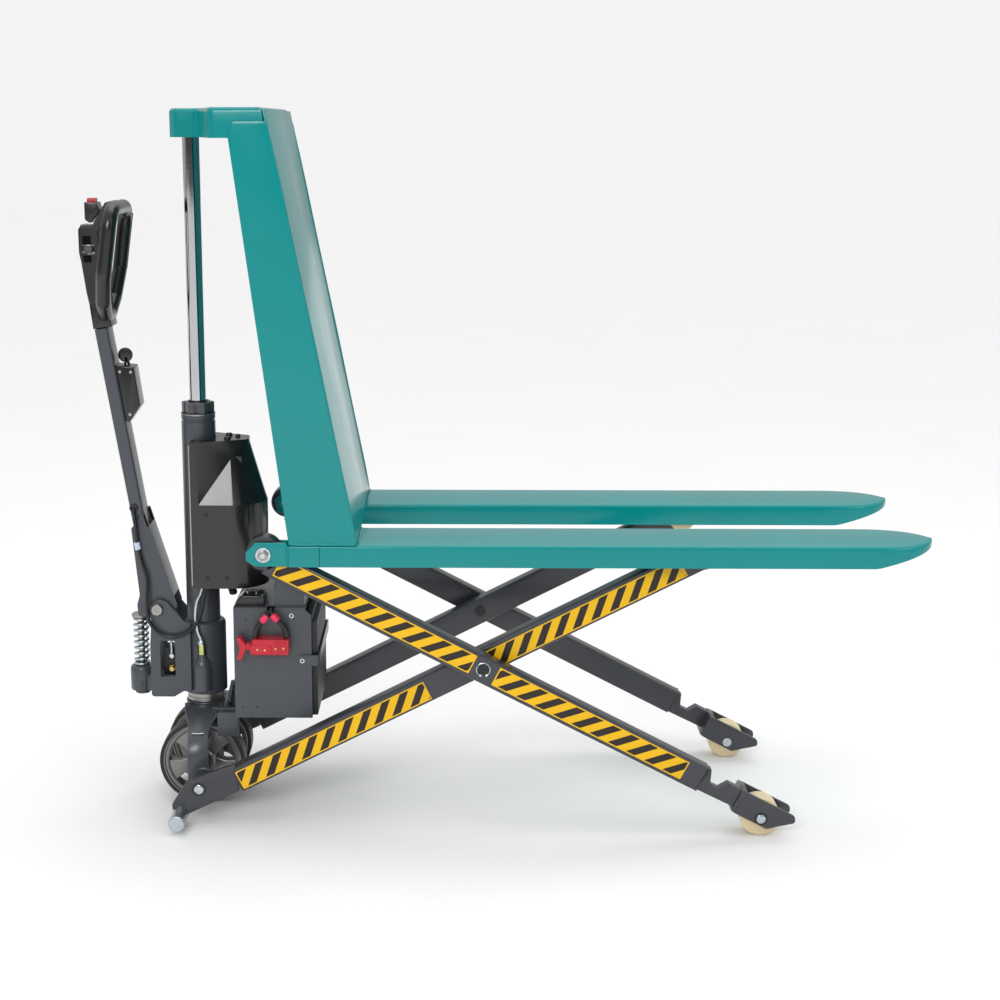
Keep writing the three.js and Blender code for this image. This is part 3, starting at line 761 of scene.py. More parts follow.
# ---------------------------------------------------------------- hazard film
def clip_below(polygon, axis, limit, keep_low):
    """The part of the polygon on one side of a limit, below it if keep_low."""
    result = []
    for i, point in enumerate(polygon):
        before = polygon[i - 1]
        inside = (point[axis] <= limit) == keep_low or point[axis] == limit
        was_inside = (before[axis] <= limit) == keep_low or before[axis] == limit
        if inside != was_inside:
            t = (limit - before[axis]) / (point[axis] - before[axis])
            result.append(tuple(b + (p - b) * t for b, p in zip(before, point)))
        if inside:
            result.append(point)
    return result


def build_film(name, slope, start, end, low, high, face, body, yellow, dark, phase):
    """A strip of striped film on a leg, both sides of the truck. A bar starts at start + phase."""
    border, pitch, share = 2.4, FILM_PITCH, 0.48
    sheet_face, bar_face = face - 0.25, face - 0.40
    points, faces, dark_faces = [], [], []

    def put(polygon, y, is_dark):
        first = len(points)
        points.extend((x, y, z) for x, z in leg_outline(slope, polygon))
        (dark_faces if is_dark else faces).append(tuple(range(first, first + len(polygon))))

    sheet = rect(start, end, low, high)
    put(sheet, sheet_face, False)
    for i in range(4):
        a, b = sheet[i - 1], sheet[i]
        first = len(points)
        for (x, z), y in zip(leg_outline(slope, [a, b, b, a]), (face, face, sheet_face, sheet_face)):
            points.append((x, y, z))
        faces.append((first, first + 1, first + 2, first + 3))
    bottom, top = low + border, high - border
    for k in range(-2, int((end - start) / pitch) + 2):
        left = start + phase + k * pitch
        rise = top - bottom
        bar = [(left, bottom), (left + share * pitch, bottom), (left + share * pitch + rise, top),
            (left + rise, top)]
        bar = clip_below(bar, 0, end - border, True)
        if bar:
            bar = clip_below(bar, 0, start + border, False)
        if len(bar) > 2:
            put(bar, bar_face, True)
    piece = new_mesh(name, points, faces + dark_faces)
    piece.data.materials.append(yellow)
    piece.data.materials.append(dark)
    for polygon in piece.data.polygons:
        polygon.material_index = 1 if polygon.index >= len(faces) else 0
        if polygon.normal.y > 0 and abs(polygon.normal.y) > 0.5:
            polygon.flip()
    other = mirrored(piece, f"{name}_right")
    piece.name = f"{name}_left"
    other.data.materials.append(yellow)
    other.data.materials.append(dark)
    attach(piece, body)
    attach(other, body)


# ---------------------------------------------------------------- legs
def build_outer_legs(leg, zinc, matt, urethane, yellow, dark):
    top, bottom, axle, drop = LEG_TOP, LEG_BOTTOM, 639.6, -19.7
    slope = OUTER_SLOPE
    tube = slab("tube", "y", [rounded(leg_outline(slope, [(-476, bottom), (axle - 144, bottom),
        (axle - 144, top), (-470, top)]))], (-258, -220), 5, 5)
    boss = turned("boss", [(10.8, -258), (32, -258), (34, -256), (34, -222), (32, -220), (10.8, -220),
        (10.8, -258)], PIVOT_B)
    neck = slab("neck", "y",
        [rounded(leg_outline(slope, [(axle - 160, bottom + 2), (axle - 60, drop - 5),
        (axle - 60, drop + 34), (axle - 92, drop + 34), (axle - 104, drop + 15), (axle - 124, drop + 15),
        (axle - 136, top - 2), (axle - 160, top - 2)]))], (-252, -226), 2.5, 3)
    web = slab("web", "y", [leg_outline(slope, [(axle - 62, drop - 12), (axle - 55, drop - 14),
        (axle - 49, drop + 36), (axle - 62, drop + 35)])], (-256, -192), 1.2, 2)
    side = leg_outline(slope, [(axle - 55, drop - 14), (axle + 20, drop - 14), (axle + 66, drop + 24),
        (axle + 58, drop + 36), (axle - 51, drop + 36)])
    side = [(x, z, r) for (x, z), r in zip(side, (2, 10, 7, 9, 2))]
    hole = circle(*AXLE_D, 10.4)
    cheeks = [slab("cheek", "y", [rounded(side), hole], reach, 1.3, 2) for reach in ((-256, -249),
        (-199, -192))]
    inner_lip = slab("lip", "y", [leg_outline(slope, [(axle + 30, drop + 22), (axle + 56, drop + 22),
        (axle + 54, drop + 34), (axle + 30, drop + 34)])], (-203, -197), 1.0, 2)
    x1, z1 = leg_point(slope, axle - 144, top - 1)
    x2, z2 = leg_point(slope, axle - 144, bottom + 2)
    seam = bead("seam", [(x1, -256, z1), (x1, -257.6, z1 - 6), (x2, -257.6, z2 + 6), (x2, -256, z2)], 1.7)
    x3, z3 = leg_point(slope, axle - 60, drop + 33)
    x4, z4 = leg_point(slope, axle - 62, drop - 8)
    seam2 = bead("seam2", [(x3, -253, z3), (x4, -253, z4)], 1.7)
    give_pair(joined("outer_leg_body", tube, boss, neck, web, *cheeks, inner_lip, seam, seam2),
        "outer_legs", leg, "legs", "outer_leg_{}")
    ring = turned("ring", [(8, -256), (12.5, -256), (12.5, -257.2), (8, -257.2), (8, -256)], AXLE_D)
    give_pair(joined("load_axle_ring", ring), "outer_legs", matt, "black_plastic")
    give_pair(joined("load_axle", dome_head("head", *AXLE_D, 9.0, -249, -258.5),
        turned("bar", rect(0, 10, -249, -190.4), AXLE_D)), "outer_legs", zinc, "steel",
        "load_roller_axle_{}")
    roller = [(10.6, -246), (20, -246), (21, -245), (36, -245), (38.5, -244), (40, -241.5), (40, -206.5),
        (38.5, -204), (36, -203), (21, -203), (20, -202), (10.6, -202), (10.6, -246)]
    give_pair(turned("load_roller_body", roller, AXLE_D, 72), "load_wheel_{}", urethane, "polyurethane",
        "load_roller_{}")
    last_bar = 431.4 - 26.6
    for part, first, last, phase in (("rear", -454.2, -22.8, last_bar - 11 * FILM_PITCH),
            ("front", 28.4, 454.2, 13)):
        build_film(f"outer_film_{part}", slope, first, last, -20.8, 19.2, -258, "outer_legs", yellow,
            dark, phase)


def build_inner_legs(leg, zinc, matt, urethane, yellow, dark):
    top, bottom = LEG_TOP, LEG_BOTTOM
    slope = INNER_SLOPE
    tube = slab("tube", "y", [leg_outline(slope, rect(-560, 487, bottom, top))], (-206, -168), 5, 5)
    end = slab("end", "y", [circle(*FORK_ROLLER, 28, 48)], (-206, -168), 4, 4)
    bracket = slab("bracket", "y", [rounded([(86, 132), (-16, 92, 10), (-46, 44, 8), (-44, 22, 10),
        (-30, 8, 10), (-12, 24, 8), (92, 74)]), circle(*PIVOT_A, 10.6), circle(*FOOT, 16.9)],
        (-206, -192), 2.2, 3)
    boss = turned("boss", [(10.6, -200), (20, -200), (20, -143), (18.5, -141), (10.6, -141),
        (10.6, -200)], PIVOT_A, 48)
    stub = turned("stub", [(0, -172), (8, -172), (8, -132), (12, -132), (12, -128), (11, -127),
        (0, -127)], FORK_ROLLER, 40)
    a, b = leg_point(slope, -559, top - 3), leg_point(slope, -559, bottom + 3)
    seam = bead("seam", [(a[0], -206.2, a[1]), (b[0], -206.2, b[1])], 1.8)
    give_pair(joined("inner_leg_body", tube, end, bracket, boss, stub, seam), "inner_legs", leg, "legs",
        "inner_leg_{}")
    foot = [(0, -196.3), (16.5, -196.3), (16.5, -263.5), (15, -265.4), (12, -266), (0, -266)]
    give_pair(turned("foot_bar", foot, FOOT, 56), "inner_legs", zinc, "steel", "stabiliser_foot_{}")
    give_pair(turned("scissor_pin_bar", [(0, -166), (12, -166), (12, -258.6), (11, -259.5), (4, -259.5),
        (3, -258.8), (0, -258.8)], PIVOT_C, 48), "inner_legs", matt, "black_plastic", "scissor_pin_{}")
    clip_path = [(PIVOT_C[0] + 13.4 * math.cos(math.radians(a)), -259.0, PIVOT_C[1]
        + 13.4 * math.sin(math.radians(a))) for a in range(-62, 245, 6)]
    ears = [turned("ear", rect(0, 2.6, -258, -259.9), (clip_path[i][0], clip_path[i][2]), 16)
        for i in (0, -1)]
    give_pair(joined("scissor_clip", sweep("c", clip_path, 1.35, 8), *ears), "inner_legs", zinc, "steel")
    roller = [(8.6, -164), (25, -164), (28, -161.5), (28, -136.5), (25, -134), (8.6, -134), (8.6, -164)]
    give_pair(turned("upper_roller_body", roller, FORK_ROLLER, 56), "upper_roller_{}", urethane,
        "polyurethane", "fork_roller_{}")
    for part, first, last in (("rear", -555.6, -126.1), ("front", 13.1, 441.3)):
        build_film(f"inner_film_{part}", slope, first, last, -23.5, 16.2, -206, "inner_legs", yellow,
            dark, 11)


# ---------------------------------------------------------------- chassis
def build_chassis(paint, steel, zinc, matt, moulded, red, tag, cable, brassy):
    path = [(-30, 198, 80), (-52, 197, 74), (-76, 188, 62), (-98, 175, 48), (-118, 159, 42),
        (-129, 145, 42), (-132, 120, 42), (-132, 52, 42)]
    spots = [Vector(p[:2]) for p in path]
    half_sheet = 6
    sections = []
    for i, (_, _, width) in enumerate(path):
        ahead = spots[min(i + 1, len(spots) - 1)] - spots[max(i - 1, 0)]
        normal = Vector((-ahead.y, ahead.x)).normalized()
        ring = []
        for y_side, x_side in ((1, 1), (1, -1), (-1, -1), (-1, 1)):
            spot = spots[i] + normal * half_sheet * y_side
            ring.append((-1 + x_side * width / 2, spot.x, spot.y))
        sections.append(ring)
    arm = bevelled(loft("yoke_arm", sections), 1.8, 3)
    boss = turned("boss", [(10.6, -138), (21, -138), (22, -137), (22, -127), (21, -126), (10.6, -126),
        (10.6, -138)], PIVOT_A, 48)
    give_pair(joined("yoke_arm", arm, boss), "chassis", paint, "chassis", "yoke")
    collar = lathe("collar", [(26, 184), (38, 184), (40, 187), (41, 190), (41, 204), (40, 206),
        (26, 206), (26, 184)], AXIS)
    tongue = slab("tongue", "z", [rect(20, 78, -60, 60)], (190, 202), 1.5)
    gusset = [slab("g", "y", [[(44, 203), (79, 203), (79, 262), (62, 262), (52, 218)]], reach, 1.2)
        for reach in ((-60, -54), (54, 60))]
    apron = slab("apron", "y", [rect(36, 79, 152, 204)], (-96, -92), 1.2)
    apron_weld = bead("w", [(80, -96, 156), (80, -96.4, 180), (80, -96, 203)], 1.5)
    give(joined("yoke_head", collar, tongue, *gusset, apron, apron_weld), "chassis", paint, "chassis")
    mark = bead("yoke_mark", [(-14, -123, 168.5), (-2, -124, 167.4), (12, -123, 168.5)], 1.6, 3.5)
    give(mark, "chassis", zinc, "steel")
    give(lathe("bearing_ring", [(26.4, 206.4), (36.5, 206.4), (38, 208), (38, 214.8), (37.2, 215.6),
        (38, 216.4), (38, 224), (36.5, 225.4), (26.4, 225.4), (26.4, 206.4)], AXIS, "z", 72), "chassis",
        steel, "steel", "thrust_bearing")
    give_pair(joined("chassis_pin", dome_head("h", *PIVOT_A, 9.8, -200, -208),
        turned("b", [(0, -200), (10, -200), (10, -126), (15, -125.6), (15, -122), (0, -122)], PIVOT_A,
        48)), "chassis", zinc, "steel", "chassis_pivot_pin_{}")
    give_pair(turned("chassis_pin_ring", [(9.9, -206), (14, -206), (14, -207.1), (9.9, -207.1),
        (9.9, -206)], PIVOT_A, 48), "inner_legs", matt, "black_plastic")
    dress(paint, "battery_box", "battery_cover")
    dress(matt, "battery")
    body_outline = rounded([(84, 440.3), (141, 440.3), (141, 457, 4), (128, 460, 3), (96, 460, 6),
        (84, 448, 4)])
    give(slab("relay_block", "y", [body_outline], (-112, -54), 1.6, 3), "chassis", moulded,
        "black_plastic", "relay")
    studs = [lathe("s", [(0, 458), (3.2, 458), (3.2, 463.4), (2.4, 464), (0, 464)], (x, -83, 0), "z", 16)
        for x in (104, 122)]
    give(joined("relay_studs", *studs), "chassis", zinc, "steel")
    strap_side = rounded([(212, 318, 3), (254, 318), (254, 341), (212, 341, 3)])
    sides = [slab("s", "y", [strap_side], reach, 0.8) for reach in ((-134, -130.4), (130.4, 134))]
    back = slab("s", "x", [rect(-134, 134, 318, 341)], (251, 254), 0.8)
    give(joined("strap_body", *sides, back), "chassis", paint, "chassis", "battery_strap")
    give_pair(bolt_piece("strap_bolt", 219, -134, 329.5, 5.2), "chassis", zinc, "steel")
    give(bolt_piece("cover_bolt", 198, -130, 424, 5.2), "chassis", zinc, "steel")
    # Thin black discs on the panel where its holes are: painted shade for the dark inside of each hole.
    holes = [turned("h", rect(0, 2.1, -130.2, -130.6), (x, z), 20) for x, z in ((94, 228), (124, 228),
        (104, 414), (129, 397))]
    give(joined("panel_hole_shade", *holes), "chassis", matt, "black_plastic")
    ribs = [slab("r", "x", [rect(y, y + 9, 214, 404)], (247.5, 249.6), 0.7) for y in range(-116, 112, 26)]
    give(joined("battery_ribs", *ribs), "chassis", matt, "black_plastic")
    build_connector(red, brassy)
    entry = [(156, -130, 434), (156, -120, 431.5)]
    left = [(126, -149, 380), (126, -149.5, 392), (133, -151, 410), (147, -149, 425),
        (155, -141, 433)] + entry
    right = [(188, -149, 380), (188, -149.5, 392), (181, -151, 411), (166, -149, 425),
        (157, -141, 433)] + entry
    leads = [sweep("l", spline(route, 8), 5.6, 16) for route in (left, right)]
    give(joined("lead_pair", *leads), "chassis", cable, "cable", "battery_leads")
    tags = [sweep("t", spline(points, 4), 7.2, 14)
        for points in ([(139, -150.6, 417), (144, -149.8, 422), (149, -147.6, 427.4)],
        [(172, -150.2, 419), (166.5, -149.2, 424.4), (162, -146.6, 428.6)])]
    give(joined("lead_tags", *tags), "chassis", tag, "red")


def build_connector(red, brassy):
    body = slab("b", "y", [rounded([(120, 350), (194, 350, 2), (194, 382, 2), (120, 382)])],
        (-164, -130.4), 1.5, 3)
    plug = slab("b", "y", [rounded([(116, 352), (160, 352, 2), (160, 366, 2), (154, 371, 2),
        (116, 371)])], (-166, -150), 1.2, 2)
    ribs = [slab("r", "y", [rect(x, x + 2.2, 351, 381)], (-165.4, -150), 0.5, 1) for x in range(166, 187,
        5)]
    bridge = slab("b", "y", [rect(104, 122, 359, 371)], (-158, -140), 1.5, 2)
    handle = slab("h", "y", [rounded([(88, 384, 2), (97, 384, 3), (107, 371, 2), (107, 359, 2),
        (97, 338, 3), (88, 338, 2), (94, 361, 6)])], (-160, -138), 2.0, 3)
    give(joined("connector_body", body, plug, *ribs, bridge, handle), "chassis", red, "red",
        "battery_connector")
    contacts = [turned("c", rect(0, 2.2, -165.2, -166.5), (x, z), 20) for x, z in ((131, 362),
        (146, 361), (168, 364), (184, 365))]
    give(joined("connector_contacts", *contacts), "chassis", brassy, "steel")


# ---------------------------------------------------------------- steering unit
def carved(piece, *tools, operation="DIFFERENCE"):
    for tool in tools:
        modifier = piece.modifiers.new("carve", "BOOLEAN")
        modifier.operation = operation
        modifier.solver = "EXACT"
        modifier.object = tool
        piece = baked(piece)
        bpy.data.objects.remove(tool)
    shade(piece.data)
    return piece


def build_cylinder(paint, chrome, steel, matt):
    wall = [(0, 60), (24, 60), (25, 61), (25, 299), (34, 300), (35, 301), (35, 804.6), (33.4, 806),
        (33.4, 809), (35, 810.4), (35, 818.4), (34.4, 819), (34.4, 822), (18.5, 822), (18.5, 66), (0, 66)]
    give(lathe("cylinder_barrel", wall, AXIS, "z", 96), "steering_unit", paint, "chassis", "cylinder_tube")
    flange = lathe("cylinder_flange", [(34.6, 819.1), (35.6, 819.1), (35.6, 821.9), (34.6, 821.9),
        (34.6, 819.1)], AXIS, "z", 96)
    give(flange, "steering_unit", steel, "steel")
    outline = []
    for i in range(6):
        a, b = math.radians(60 * i), math.radians(60 * i + 60)
        corner = Vector((33.5 * math.cos(a), 33.5 * math.sin(a)))
        following = Vector((33.5 * math.cos(b), 33.5 * math.sin(b)))
        middle, along = (corner + following) / 2, (following - corner).normalized()
        inward = -middle.normalized()
        outline += [tuple(corner), tuple(middle - along * 4), tuple(middle - along * 4 + inward * 3.4),
            tuple(middle + along * 4 + inward * 3.4), tuple(middle + along * 4)]
    nut = slab("gland_hexagon", "z", [outline, circle(0, 0, 20, 48)], (822.3, 845), 1.4, 2)
    give(nut, "steering_unit", paint, "chassis", "gland_nut")
    wiper = lathe("rod_wiper", [(17.4, 830), (20, 830), (20, 845), (19.4, 847.5), (17.9, 848.5),
        (17.4, 847)], AXIS, "z", 64)
    give(wiper, "steering_unit", matt, "black_plastic")
    rod = lathe("rod", [(0, 588), (16, 588), (17, 589), (17, 1402.6), (14.6, 1405), (0, 1405)], AXIS,
        "z", 96)
    give(rod, "ram", chrome, "chrome", "ram_rod")


def build_pump(paint, steel, zinc, matt, brassy, yellow_metal):
    collar = lathe("c", [(25.3, 226), (44, 226), (46, 228), (46, 374), (44, 378), (40, 381), (35.3, 381),
        (35.3, 299.7), (25.3, 299.7), (25.3, 226)], AXIS, "z", 80)
    outlet = lathe("o", [(0, 238), (17, 238), (18, 239), (18, 290), (16, 300), (11, 307), (9.4, 310),
        (9.4, 316.6), (8.4, 318), (0, 318)], (2, -50, 0), "z", 48)
    root = slab("r", "z", [rect(-17, 21, -48, -30)], (240, 296), 3, 3)
    cylinder = lathe("p", [(8.3, 218), (15, 218), (16, 219), (16, 224), (24, 226), (25, 228), (25, 272),
        (23, 277), (20, 279), (8.3, 279), (8.3, 218)], (PUMP_X, 0, 0), "z", 48)
    web = slab("w", "y", [rect(PUMP_X + 12, -24, 226, 262)], (-22, 22), 4, 3)
    ear = rounded([(-111, 413, 14), (-104, 390), (-108, 330), (-108, 222, 8), (-60, 222), (-40, 234),
        (-22, 235), (-22, 384), (-34, 386), (-68, 428, 8), (-90, 436, 14)])
    window = rounded([(-86, 266, 3), (-56, 266, 3), (-56, 344, 3), (-86, 344, 3)])
    ears = [slab("e", "y", [ear, window, circle(*TILLER_PIVOT, 8.4)], reach, 1.8, 3)
        for reach in ((-48, -40), (40, 48))]
    feet = [slab("f", "y", [rect(-104, -88, 226, 256)], reach, 2) for reach in ((-44, -16), (16, 44))]
    nub = turned("n", [(0, -27), (4, -27), (5, -26), (5, -20), (0, -20)], (PUMP_X, 244), 20)
    give(joined("pump_casting", collar, outlet, root, cylinder, web, *ears, *feet, nub), "steering_unit",
        paint, "chassis", "pump_housing")
    block = slab("valve_body", "z", [rect(-84, -58, -20, 20)], (262.3, 322), 1.6, 3)
    give(block, "steering_unit", matt, "black_plastic", "valve_block")
    screw = joined("valve_screw", hexagon("h", -66, 278, 5, (-34, -25), 1.0),
        turned("s", rect(0, 6.4, -25, -20), (-66, 278), 24))
    give(screw, "steering_unit", brassy, "steel")
    stem = joined("valve_stem", lathe("a", rect(0, 3.2, 300, 336), (-66, -25, 0), "z", 20),
        turned("b", [(0, -30), (4.6, -30), (5.4, -29), (5.4, -20), (0, -20)], (-66, 306), 24))
    give(stem, "steering_unit", zinc, "steel")
    pipe = [(2, -58, 338), (1, -58, 352), (-6, -57, 372), (-9, -56, 400), (-6, -55, 430), (3, -55, 450),
        (8, -55, 466), (12, -54, 480), (24, -50, 492), (38, -47, 496), (46, -46, 497)]
    tube = sweep("pipe_tube", spline(pipe, 10), 4, 16)
    ball = lathe("b", [(4, 340), (7.4, 341), (8, 345), (7.2, 349), (4.4, 352), (4, 352)], (1.6, -58, 0),
        "z", 32)
    give(joined("pressure_line", tube, ball), "steering_unit", zinc, "steel", "pressure_pipe")
    nut = slab("pipe_nut", "z", [circle(2, -56, 8.6, 6), circle(2, -56, 3.6, 24)], (318.3, 340), 1.2, 2)
    give(nut, "steering_unit", yellow_metal, "steel")
    piston = lathe("piston", [(0, 270), (7, 270), (7, 384.5), (18, 384.5), (19, 385.5), (19, 390),
        (17.4, 392), (0, 392)], (PUMP_X, 0, 0), "z", 48)
    give(piston, "pump_plunger", steel, "steel", "pump_piston")
    turns, low, high = 9.5, 282.6, 380.6
    coil = []
    for i in range(int(turns * 28) + 1):
        share = i / (turns * 28)
        level = min(max((share * turns - 0.9) / (turns - 1.8), 0), 1)
        rise = low + (high - low) * (0.05 * share + 0.95 * level)
        angle = 2 * math.pi * share * turns
        coil.append((PUMP_X + 14 * math.cos(angle), 14 * math.sin(angle), rise))
    spring = sweep("return_spring", coil, 2.9, 12, up=(0, 0, 1))
    give(spring, "steering_unit", zinc, "steel", "pump_spring")
    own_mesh(spring)


def build_cover(moulded, steel, matt):
    def stadium(radius, tail):
        curve = [(70 + radius * math.cos(math.radians(a)), radius * math.sin(math.radians(a)))
            for a in range(-90, 91, 5)]
        return [(tail, -radius)] + curve + [(tail, radius)]

    def stack(name, shrink, tail):
        rows = [(70 - shrink, 450 if shrink else 464), (70 - shrink, 640)]
        skirt = loft(name, [[(x, y, z) for x, y in stadium(r, tail)] for r, z in rows])
        upper = []
        for share in (0, 1):
            radius = 70 - shrink - 36 * share
            middle = 70 - share
            half = radius - 6 * share
            ring = [(middle + radius * math.cos(math.radians(a)), half * math.sin(math.radians(a)),
                638 + (132 - shrink) * share) for a in range(-90, 91, 5)]
            ring = [(tail, -70 + shrink if share == 0 else -half, ring[0][2])] + ring + [(tail,
                70 - shrink if share == 0 else half, ring[0][2])]
            upper.append(ring)
        cone = loft(name, upper)
        plan = [(tail, -70 + shrink), (4, -70 + shrink), (100 - shrink, -27 + shrink),
            (104 - shrink, -16 + shrink), (104 - shrink, 16 - shrink), (100 - shrink, 27 - shrink),
            (4, 70 - shrink), (tail, 70 - shrink)]
        wedge = loft(name, [[(x, y, z) for x, y in plan] for z in (630, 770 - shrink)])
        return carved(skirt, cone, wedge, operation="UNION")

    shell = stack("cover_shell", 0, -10)
    hollow = stack("cover_hollow", 3, -20)
    bore = lathe("bore", rect(0, 36.2, 440, 800), AXIS, "z", 64)
    shell = carved(shell, hollow, bore)
    give(bevelled(shell, 1.1, 3, 28), "steering_unit", moulded, "black_plastic", "power_cover")
    strips = [slab("s", "y", [rect(-13, -10.2, 470, 764)], reach, 0.5) for reach in ((-70, -60),
        (60, 70))]
    give(joined("cover_trim", *strips), "steering_unit", steel, "steel")
    caps = [lathe("k", [(0, 769), (r, 769), (r, 773), (r - 1.5, 775), (0, 775)], (x, y, 0), "z", 32)
        for x, y, r in ((62, -22, 7), (80, 8, 5), (60, 22, 7))]
    screws = [turned("k", [(0, -69.5), (4, -69.5), (4, -71.2), (3, -72), (0, -72)], (x, z), 24)
        for x, z in ((20, 486), (60, 486), (20, 620))]
    give(joined("cover_caps", *caps, *screws), "steering_unit", matt, "black_plastic")
    rings = []
    for i in range(60):
        share = i / 59
        rings.append((60 + 10 * math.sin(share * 1.4), -52 + 6 * share, 478 - 30 * share))
    hose = sweep("vent_hose", rings, lambda s: 7.5 + 1.1 * math.sin(s * 2 * math.pi * 10), 20)
    give(hose, "steering_unit", matt, "black_plastic")


def build_tiller_root(steel, cable, clip):
    x, z = TILLER_PIVOT
    head = turned("h", [(0, -48.3), (12, -48.3), (12, -54.6), (10.8, -56), (4.6, -56), (4.2, -55.2),
        (0, -55.2)], (x, z), 40)
    bar = turned("b", [(0, -48.2), (8, -48.2), (8, 51), (7, 52), (0, 52)], (x, z), 40)
    give(joined("pivot_bar", head, bar), "steering_unit", steel, "steel", "tiller_pin")
    route = [(-135, -29.5, 624), (-133, -41, 612), (-130, -44, 589), (-127, -44, 547), (-119, -45, 511),
        (-109, -50, 477), (-110, -55, 439), (-110, -56, 411), (-104, -57, 385), (-88, -57, 366),
        (-61, -57, 356), (-32, -60, 364), (-8, -66, 386), (4, -67, 412), (10, -66, 440), (14, -64.5, 460)]
    line = sweep("switch_cable", spline(route, 8), 4, 16)
    line.data.materials.append(cable)
    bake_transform(line)
    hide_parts("control_cable")
    band = sweep("cable_clip", [(-128.6, -44, 556), (-127.8, -44, 549), (-126, -44, 541)], 6.2, 20)
    give(band, "tiller", clip, "cable")


# ---------------------------------------------------------------- wheels
def build_wheels(aluminium, rubber, matt):
    rim = [(70, -75), (72, -76), (78, -76), (79, -79.4), (80, -80), (82, -79.6), (82, -40.4), (80, -40),
        (79, -40.6), (78, -44), (72, -44), (70, -45), (69, -50), (69, -70), (70, -75)]
    ring = turned("r", rim, (0, WHEEL_R), 96)
    hub = turned("h", [(12.7, -80), (24, -80), (27, -77), (28, -66), (28, -54), (27, -43), (24, -40),
        (12.7, -40), (12.7, -80)], (0, WHEEL_R), 64)
    spokes = []
    for i in range(5):
        angle = math.radians(72 * i + 18)
        along = Vector((math.cos(angle), -math.sin(angle)))
        across = Vector((math.sin(angle), math.cos(angle)))
        corners = [(22, -15), (46, -15), (72, -25), (72, 25), (46, 15), (22, 15)]
        outline = [(along.x * u + across.x * v, WHEEL_R + along.y * u + across.y * v) for u, v in corners]
        spokes.append(slab("s", "y", [outline], (-73, -47), 2.4, 3))
    give_pair(joined("steer_rim", ring, hub, *spokes), "wheel_{}", aluminium, "aluminium",
        "steer_wheel_rim_{}")
    tread = [(82.3, -80), (88, -80), (90, -78), (90, -42), (88, -40), (82.3, -40), (82.3, -80)]
    give_pair(turned("steer_tread", tread, (0, WHEEL_R), 96), "wheel_{}", rubber, "rubber",
        "steer_wheel_tread_{}")
    cap = turned("hub_cap", [(0, -83.5), (13, -83.5), (18, -82), (21, -80.3), (0, -80.3)], (0, WHEEL_R), 48)
    give_pair(cap, "wheel_{}", matt, "black_plastic")


